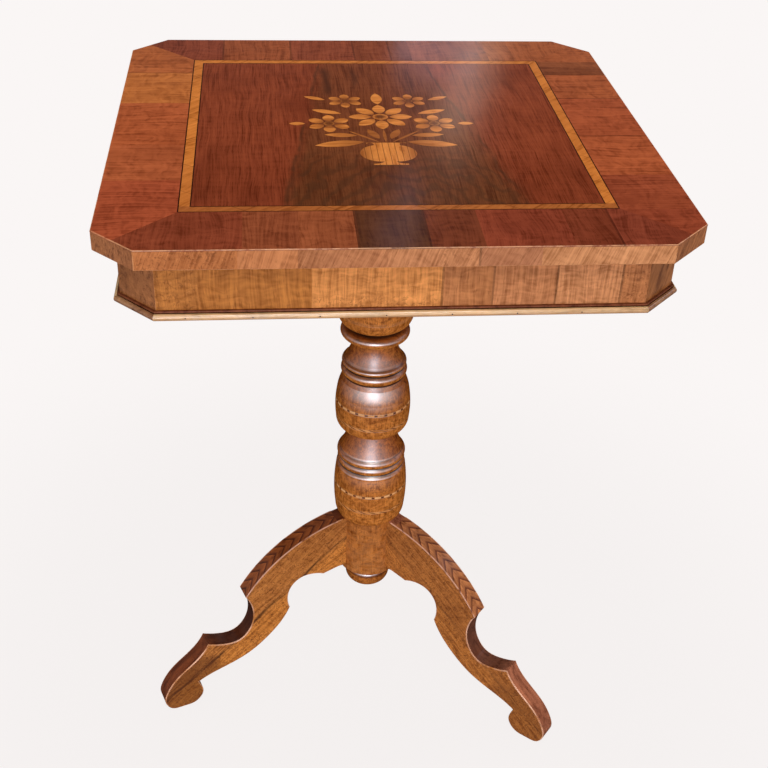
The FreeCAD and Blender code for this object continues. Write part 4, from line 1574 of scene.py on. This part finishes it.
@dataclass
class Column:
    """The turned column with its inlaid rings, and the finial under the hub.

    Outlines are shares of the radius and of the turned height, as Turning.follow() reads them.
    """

    radius: float = 45.0 * MM
    hub_radius: float = 37.5 * MM
    hub_bottom: float = 158.0 * MM
    hub_top: float = 242.0 * MM
    chamfer: float = 1.2 * MM
    bearer_bottom: float = 701.7 * MM
    capital_radius: float = 58.0 * MM
    ring_width: float = 2.4 * MM
    ring_depth: float = 3.0 * MM
    finial_radius: float = 28.0 * MM
    finial_height: float = 33.0 * MM
    smooth: float = 34.0
    barrel: tuple[tuple[float, ...], ...] = (
        (0.867, 0.001), (0.927, 0.011, 0.960, 0.026), (1.000, 0.088, 0.947, 0.159),
        (0.929, 0.166, 0.884, 0.170), (0.867, 0.172), (0.916, 0.182, 0.867, 0.192), (0.862, 0.193),
        (0.871, 0.194), (0.927, 0.204, 0.880, 0.214), (0.856, 0.216), (0.729, 0.243, 0.596, 0.279),
    )
    egg: tuple[tuple[float, ...], ...] = (
        (0.604, 0.000), (0.689, 0.001), (0.878, 0.011, 0.978, 0.036), (1.000, 0.066, 0.962, 0.116),
        (0.907, 0.141, 0.804, 0.165), (0.784, 0.168), (0.807, 0.171), (0.867, 0.182, 0.807, 0.193),
        (0.778, 0.196), (0.800, 0.199), (0.844, 0.205, 0.800, 0.211), (0.778, 0.213),
        (0.644, 0.237, 0.556, 0.270), (0.556, 0.279), (0.762, 0.281), (0.896, 0.294, 0.762, 0.306),
        (0.600, 0.312),
    )
    egg_starts: tuple[float, ...] = (0.281, 0.595)
    capital: tuple[tuple[float, ...], ...] = ((0.600, 0.909), (0.722, 0.955, 1.180, 0.976))
    rim: tuple[float, float, float] = (0.976, 0.988, 1.0)
    ring_levels: tuple[float, ...] = (0.055, 0.107, 0.325, 0.373, 0.638, 0.687)
    finial: tuple[tuple[float, ...], ...] = (
        (0.960, 0.000), (1.000, -0.080, 0.960, -0.160), (0.900, -0.180), (0.900, -0.220),
        (0.975, -0.300, 1.000, -0.460), (0.889, -0.807, 0.620, -0.950), (0.000, -1.000),
    )

    def level(self, share: float) -> float:
        """Return the level at a share of the turned height."""
        return self.hub_top + share * (self.bearer_bottom - self.hub_top)

    def build(self) -> None:
        """Build the column, its rings and the finial, and dress the hidden wedge."""
        outline = self.outline()
        rings = []
        for share in self.ring_levels:
            middle = self.level(share)
            rings.append(outline.groove(middle - self.ring_width / 2, middle + self.ring_width / 2,
                                        self.radius - self.ring_depth))
        overlays = (
            Burl((0, 0, 1), 0.0, 0.8, size=0.0060, share=0.60),
            # Painted shade: the turning's upper sides darker where they look up.
            Patina((0.68, 0.53, 0.42, 1.0)),
            Wash((0, 0, 1), 0.10, self.hub_top + 1.0 * MM, (0.84, 0.80, 0.80, 1.0), share=1.0, soft=0.004),
            # Grime with painted shade in the turning's hollows, and crests paler as wear and painted
            # highlight.
            Relief(GRIME_AND_SHADE, stain(206, 146, 92)),
        )
        wood = COLUMN_WOOD.dress("column_walnut", GRAIN_UP, None, overlays)
        outline.spun(Piece("column_turning", "column_wood", ("column",))).done((wood,), self.smooth)
        self.rings(rings, wood)
        self.finial_knob(wood)
        dress_node("tenon_wedge", WEDGE_WOOD.dress("wedge_wood", GRAIN_UP))

    def outline(self) -> Turning:
        """Draw the column's outline.

        Returns:
            The outline, from the middle of the hub's underside to the middle of the capital's top.
        """
        turning = Turning()
        turning.line_to(0.0, self.hub_bottom)
        turning.line_to(self.hub_radius - self.chamfer, self.hub_bottom)
        turning.line_to(self.hub_radius, self.hub_bottom + self.chamfer)
        turning.line_to(self.hub_radius, self.hub_top - self.chamfer)
        turning.line_to(self.hub_radius - self.chamfer, self.hub_top)
        rows = list(self.barrel)
        for start in self.egg_starts:
            for shares in self.egg:
                rows.append(tuple(share + start * (number % 2) for number, share in enumerate(shares)))
        turning.follow(rows + list(self.capital), lambda out, up: (out * self.radius, self.level(up)))
        low, middle, high = (self.level(share) for share in self.rim)
        turning.line_to(self.capital_radius - (high - middle), low)
        turning.arc_to((self.capital_radius, middle), (self.capital_radius - (high - middle), high))
        turning.line_to(0.0, high)
        return turning

    def rings(self, outlines: Sequence[Sequence[Vector]], wood: bpy.types.Material) -> None:
        """Build the inlaid rings: clear dashes round each belly, slanting ones below, none on the last.

        Args:
            outlines: The rings' outlines, from the bottom up.
            wood: The column's finish, for the ring without dashes.
        """
        piece = Piece("bulb_rings", "string_inlay", ("bulb_strings",))
        for points in outlines:
            ring = Turning(points=[*points, points[0]]).spun(Piece("ring", "string_inlay", ()))
            spun = bpy.data.meshes.new("ring")
            ring.mesh.to_mesh(spun)
            ring.mesh.free()
            piece.mesh.from_mesh(spun)
            bpy.data.meshes.remove(spun)
        for share, index in zip(self.ring_levels[::2], (1, 1, 2)):
            low = self.level(share)
            piece.paint(lambda face, low=low: abs(face.calc_center_median().z - low) < self.ring_width,
                        index)
        dark = stain(82, 42, 22)
        upright = Dashes(stain(238, 184, 120), dark)
        leaning = Dashes(stain(222, 158, 90), dark, count=22, slant=260.0, fade=0.75)
        clear = COLUMN_WOOD.dress("ring_dashes", GRAIN_UP, None, (upright,))
        slanting = COLUMN_WOOD.dress("ring_slant_dashes", GRAIN_UP, None, (leaning,))
        piece.done((clear, slanting, wood), self.smooth)

    def finial_knob(self, wood: bpy.types.Material) -> None:
        """Build the finial under the hub.

        Args:
            wood: The column's finish.
        """
        turning = Turning()
        turning.line_to(0.0, self.hub_bottom)
        turning.follow(self.finial, lambda out, up: (out * self.finial_radius,
                                                     self.hub_bottom + up * self.finial_height))
        turning.spun(Piece("finial_knob", "column_wood", ("finial",))).done((wood,), self.smooth)


@dataclass
class Leg:
    """One scrolled leg with chevrons inlaid on its knee."""

    label: str
    azimuth: float
    body: Colour
    edge_tone: Colour
    knee_tones: dict[str, Colour]
    dirt_share: float = 0.75
    foot_share: float = 0.6
    streak_share: float = 0.8
    mottle_share: float = 0.85
    thickness: float = 23.0 * MM
    hub_radius: float = 37.5 * MM
    reach: float = 285.0 * MM
    rise: float = 235.0 * MM
    knee: tuple[tuple[float, float], ...] = ((-0.024, 1.040), (0.289, 0.929), (0.544, 0.670))
    knee_inlay: float = 1.3 * MM
    knee_start: float = 48.5 * MM
    knee_slack: float = 0.15 * MM
    grain_fall: float = 38.4
    arris: float = 1.2 * MM
    hub_clearance: float = 4.0 * MM
    heart: float = 189.0 * MM
    mottle: float = 4.4 * MM
    notch: tuple[float, float] = (0.600, 0.520)
    foot: tuple[float, float] = (0.860, 0.120)
    foot_reach: float = 60.0 * MM

    @property
    def out(self) -> Vector:
        """Return the direction in which the leg reaches out."""
        angle = math.radians(self.azimuth)
        return Vector((math.cos(angle), math.sin(angle), 0))

    @property
    def aside(self) -> Vector:
        """Return the direction square to the leg's side."""
        return Vector((-self.out.y, self.out.x, 0))

    @property
    def lay(self) -> Lay:
        """Return how the board's grain runs, falling from the hub to the toe."""
        fall = math.radians(self.grain_fall)
        along = self.out * math.cos(fall) - Vector((0, 0, math.sin(fall)))
        across = self.out * math.sin(fall) + Vector((0, 0, math.cos(fall)))
        return Lay(tuple(along), tuple(across))

    def knee_circle(self) -> tuple[Vector, float]:
        """Find the circle of the knee's top.

        Returns:
            Its centre, as reach and level, and its radius.
        """
        points = [Vector((self.hub_radius + out * (self.reach - self.hub_radius), 0, up * self.rise))
                  for out, up in self.knee]
        centre = circle_centre(*points)
        return centre, (points[0] - centre).length

    def grain_place(self, share: tuple[float, float]) -> tuple[float, float]:
        """Find a place on the board.

        Args:
            share: Shares of the leg's reach and rise.

        Returns:
            The place along and across the grain.
        """
        out = self.hub_radius + share[0] * (self.reach - self.hub_radius)
        spot = self.out * out + Vector((0, 0, share[1] * self.rise))
        return spot.dot(Vector(self.lay.along)), spot.dot(Vector(self.lay.across))

    def on_knee(self, spot: Vector, depth: float) -> bool:
        """Tell whether a spot lies on the knee.

        Args:
            spot: The spot.
            depth: How deep under the knee's top it has to lie.

        Returns:
            Whether it lies on the arc at that depth.
        """
        centre, radius = self.knee_circle()
        flat = Vector((spot.dot(self.out), 0, spot.z))
        return abs((flat - centre).length - (radius - depth)) < self.knee_slack

    def build(self) -> None:
        """Build the leg and the two tones of its knee."""
        self.board()
        for tone in self.knee_tones:
            self.knee_tone(tone)

    def board(self) -> None:
        """Build the leg's board: pale arrises as rubbed wear and painted highlight, darker sawn edges, dirt
        and painted shade in the notch.
        """
        piece = Piece.from_solid(f"leg_{self.label}", f"leg_board_{self.label}", "leg_wood")
        piece.paint(lambda face: abs(face.normal.dot(self.aside)) < 0.5, 1)

        def outer(edge: bmesh.types.BMEdge) -> bool:
            """Tell whether an edge is an arris in the open, away from hub, tenon and knee."""
            spot = midpoint(edge)
            side = abs(abs(spot.dot(self.aside)) - self.thickness / 2) < NEAR
            clear = spot.dot(self.out) > self.hub_radius + self.hub_clearance
            flat = [abs(face.normal.dot(self.aside)) > 0.9 for face in edge.link_faces]
            return side and clear and sum(flat) == 1 and not self.on_knee(spot, self.knee_inlay)

        piece.soften(outer, self.arris, 2, sharp=60.0)
        wood = replace(LEG_WOOD, name=f"leg_{self.label}_wood", body=self.body)
        sawn = replace(LEG_EDGE_WOOD, name=f"leg_{self.label}_edge_wood", body=self.edge_tone)
        overlays = (
            Burl((0, 0, 1), -0.1, 0.5, size=self.mottle, share=self.mottle_share),
            HeartStreak(self.heart, (1.34, 1.34, 1.1, 1.0), stain(62, 32, 16), self.streak_share),
            Pocket(self.grain_place(self.foot), self.foot_reach, stain(92, 46, 20), self.foot_share),
        )
        # Dirt and painted shade in the hollow of the notch.
        dirt = Pocket(self.grain_place(self.notch), share=self.dirt_share)
        # Pale faces on the rounded arrises: rubbed wear and painted highlight.
        rubbed = Rubbed(stain(238, 190, 160), share=0.85, patch=0.04)
        board = wood.dress(f"leg_{self.label}_board", self.lay, None, overlays)
        edge = sawn.dress(f"leg_{self.label}_edge", self.lay, None, (dirt,))
        worn = wood.dress(f"leg_{self.label}_worn", self.lay, None, (rubbed,))
        piece.done((board, edge, worn), sharp=14.0)

    def knee_tone(self, tone: str) -> None:
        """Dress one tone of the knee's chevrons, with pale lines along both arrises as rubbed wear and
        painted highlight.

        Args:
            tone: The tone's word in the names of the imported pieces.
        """
        node = f"knee_{tone}_{self.label}"
        wood = replace(KNEE_WOOD, name=f"{node}_wood", body=self.knee_tones[tone])
        # Pale lines along the knee's arrises: rubbed wear and painted highlight.
        arris_wear_and_highlight = ArrisWear(tuple(self.aside), self.thickness / 2, stain(232, 180, 150))
        centre, radius = self.knee_circle()
        other, shares = {"pale": ("dark", (0.0, 0.25)), "dark": ("pale", (0.75, 0.0))}[tone]
        first = math.acos((self.knee_start - centre.x) / radius)
        shade = ChevronShade(tuple(self.out), tuple(self.aside), (centre.x, centre.z), radius, first,
                             self.knee_tones[other], shares)
        dress_node(node, wood.dress(f"{node}_wood", self.lay, None, (shade, arris_wear_and_highlight)))


@dataclass(frozen=True)
class Lamp:
    """A soft lamp: where it hangs, what it looks at, its width and height, its watts and its colour.

    Roll turns it about the way that it looks, in degrees.
    """

    name: str
    place: Point
    aim: Point
    size: tuple[float, float]
    power: float
    colour: Point = (0.95, 0.90, 1.0)
    roll: float = 0.0

    @classmethod
    def in_front(cls, name: str, azimuth: float, size: tuple[float, float], power: float,
                 away: float = 3.0, level: float = 0.80, aim: Point = (0.0, 0.0, 0.60)) -> "Lamp":
        """Place a lamp on an arc before the table.

        Args:
            name: The lamp's name.
            azimuth: Its angle from the front, in degrees, to the right.
            size: Its width and height.
            power: Its watts.
            away: The arc's radius.
            level: The arc's height.
            aim: What the lamp looks at.

        Returns:
            The lamp.
        """
        angle = math.radians(azimuth)
        return cls(name, (away * math.sin(angle), -away * math.cos(angle), level), aim, size, power)

    def hang(self) -> None:
        """Add the lamp to the scene."""
        light = bpy.data.lights.new(self.name, "AREA")
        light.shape = "RECTANGLE"
        light.size, light.size_y = self.size
        light.energy = self.power
        light.color = self.colour
        made = bpy.data.objects.new(self.name, light)
        way = (Vector(self.aim) - Vector(self.place)).to_track_quat("-Z", "Y").to_matrix().to_4x4()
        turn = way @ Matrix.Rotation(math.radians(self.roll), 4, "Z")
        made.matrix_world = Matrix.Translation(self.place) @ turn
        bpy.context.scene.collection.objects.link(made)


@dataclass
class Studio:
    """A pale floor and backdrop, soft lamps, and a camera that stands where the photographer stood."""

    lens: float = 57.54
    place: Point = (-0.1238, -1.20795, 1.23773)
    pitch: float = 33.637
    yaw: float = 6.447
    roll: float = 2.327
    sensor: float = 36.0
    sight: float = 100.0
    floor_radius: float = 10.0
    wall: float = 4.2
    shadow: float = 0.08
    shadow_reach: tuple[float, float] = (0.35, 1.0)
    paper: Colour = stain(250, 246, 245)
    shaded_paper: Colour = stain(160, 156, 154)
    wall_tone: Colour = (0.02, 0.02, 0.02, 1.0)
    ceiling_tone: Colour = (1.0, 1.0, 1.0, 1.0)
    ceiling_edge: float = 0.68
    ceiling_strength: float = 3.1
    lamps: tuple[Lamp, ...] = (
        Lamp.in_front("front_left", -40.0, (1.7, 1.2), 5.5),
        Lamp.in_front("front", -4.0, (2.1, 1.3), 37.0),
        Lamp.in_front("front_right", 38.0, (1.5, 1.2), 4.5),
        Lamp("glow", (-0.30, -3.0, 1.75), (0.0, 0.0, 0.50), (1.0, 0.8), 9.0),
        Lamp("key", (0.1, -1.9, 2.6), (0.0, 0.0, 0.5), (0.9, 0.7), 14.0, (1.0, 0.97, 0.93)),
        Lamp("side", (1.72, 0.30, 1.38), (0.13, -0.10, 0.20), (0.4, 0.4), 2.4, (0.94, 0.86, 1.0)),
        Lamp("sheen", (0.52, 2.5, 1.63), (0.11, 0.13, 0.753), (0.13, 0.36), 1.2, (1.0, 0.88, 0.72), -23.0),
        Lamp("window", (0.32, 2.5, 2.155), (-0.01, -0.255, 0.753), (0.12, 0.05), 0.17, (0.72, 0.74, 1.0)),
        Lamp("glint", (0.35, 2.5, 1.984), (0.01, -0.16, 0.753), (0.05, 0.06), 0.11, (0.72, 0.74, 1.0)),
        Lamp("pane", (0.42, 2.5, 1.50), (0.09, 0.245, 0.753), (0.26, 0.06), 1.0, (0.84, 0.76, 1.0)),
    )

    def build(self) -> None:
        """Set the scene."""
        scene = bpy.context.scene
        scene.view_settings.view_transform = "Standard"
        self.camera(scene)
        self.floor()
        self.sky(scene)
        for lamp in self.lamps:
            lamp.hang()

    def camera(self, scene: bpy.types.Scene) -> None:
        """Stand the camera.

        Args:
            scene: The scene that it looks at.
        """
        made = bpy.data.objects.new("camera", bpy.data.cameras.new("camera"))
        made.data.lens = self.lens
        made.data.sensor_width = self.sensor
        made.data.sensor_fit = "HORIZONTAL"
        made.data.clip_end = self.sight
        turn = Matrix.Rotation(-math.radians(self.yaw), 4, "Z")
        turn = turn @ Matrix.Rotation(math.radians(90.0 - self.pitch), 4, "X")
        turn = turn @ Matrix.Rotation(math.radians(self.roll), 4, "Z")
        made.matrix_world = Matrix.Translation(self.place) @ turn
        scene.collection.objects.link(made)
        scene.camera = made

    def floor(self) -> None:
        """Lay a round floor whose rim rises into a backdrop."""
        bm = bmesh.new()
        bmesh.ops.create_circle(bm, cap_ends=True, radius=self.floor_radius, segments=96)
        rim = [edge for edge in bm.edges if edge.is_boundary]
        raised = bmesh.ops.extrude_edge_only(bm, edges=rim)
        walls = [item for item in raised["geom"] if isinstance(item, bmesh.types.BMVert)]
        bmesh.ops.translate(bm, verts=walls, vec=(0, 0, self.wall))
        mesh = bpy.data.meshes.new("floor")
        bm.to_mesh(mesh)
        bm.free()
        mesh.materials.append(self.paper_material())
        made = bpy.data.objects.new("floor", mesh)
        bpy.context.scene.collection.objects.link(made)

    def paper_material(self) -> bpy.types.Material:
        """Make white paper that shows its own colour, with a soft shadow under the table.

        Returns:
            The material.
        """
        bench = Bench.material("studio_paper")
        path = bench.node("ShaderNodeLightPath")
        rays = [Wire(bench, path.outputs[name]) for name in
                ("Is Camera Ray", "Is Glossy Ray", "Is Transmission Ray")]
        away = bench.length(bench.wire("ShaderNodeTexCoord", None, None, "Object"))
        white = away.step(*self.shadow_reach) * self.shadow + (1.0 - self.shadow)
        share = rays[0].larger(rays[1]).larger(rays[2]) * white
        plain = bench.wire("ShaderNodeBsdfDiffuse", None, {"Color": self.shaded_paper})
        glow = bench.wire("ShaderNodeEmission", None, {"Color": self.paper, "Strength": 1.0})
        return bench.close(bench.node("ShaderNodeMixShader", None, {0: share, 1: plain, 2: glow}))

    def sky(self, scene: bpy.types.Scene) -> None:
        """Hang a soft ceiling over the studio, darker towards the walls.

        Args:
            scene: The scene that it lights.
        """
        bench = Bench(bpy.data.worlds.new("studio"))
        up = bench.dot(bench.wire("ShaderNodeTexCoord", None, None, "Generated"), (0, 0, 1))
        stops = ((0.0, self.wall_tone), (self.ceiling_edge, self.wall_tone), (1.0, self.ceiling_tone))
        sockets = {"Color": bench.ramp(up, stops), "Strength": self.ceiling_strength}
        scene.world = bench.close(bench.node("ShaderNodeBackground", None, sockets))


def main() -> None:
    """Build the table's pieces in order, and the studio round them."""
    logging.basicConfig(level=logging.INFO, format="%(name)s: %(message)s")
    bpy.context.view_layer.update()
    TopSlab().build()
    Frieze().build()
    Column().build()
    # Knee tones: the left and rear legs take darker copies as painted shade; the right leg takes paler ones
    # as painted sheen.
    dull = {"pale": stain(150, 80, 37), "dark": stain(74, 31, 15)}
    lit_knee_tones = {"pale": stain(190, 120, 70), "dark": stain(102, 48, 28)}
    for leg in (
        Leg("rear", 79.9, stain(168, 101, 45), stain(118, 60, 30), dull),
        Leg("left", 199.9, stain(187, 118, 56), stain(108, 54, 28), dull),
        # The right leg's paler sawn edges are painted sheen, and its notch takes less painted shade.
        Leg("right", 319.9, stain(177, 109, 51), stain(156, 94, 66), lit_knee_tones, dirt_share=0.65,
            foot_share=0.3, streak_share=0.35),
    ):
        leg.build()
    Studio().build()


if __name__ == "__main__":
    main()
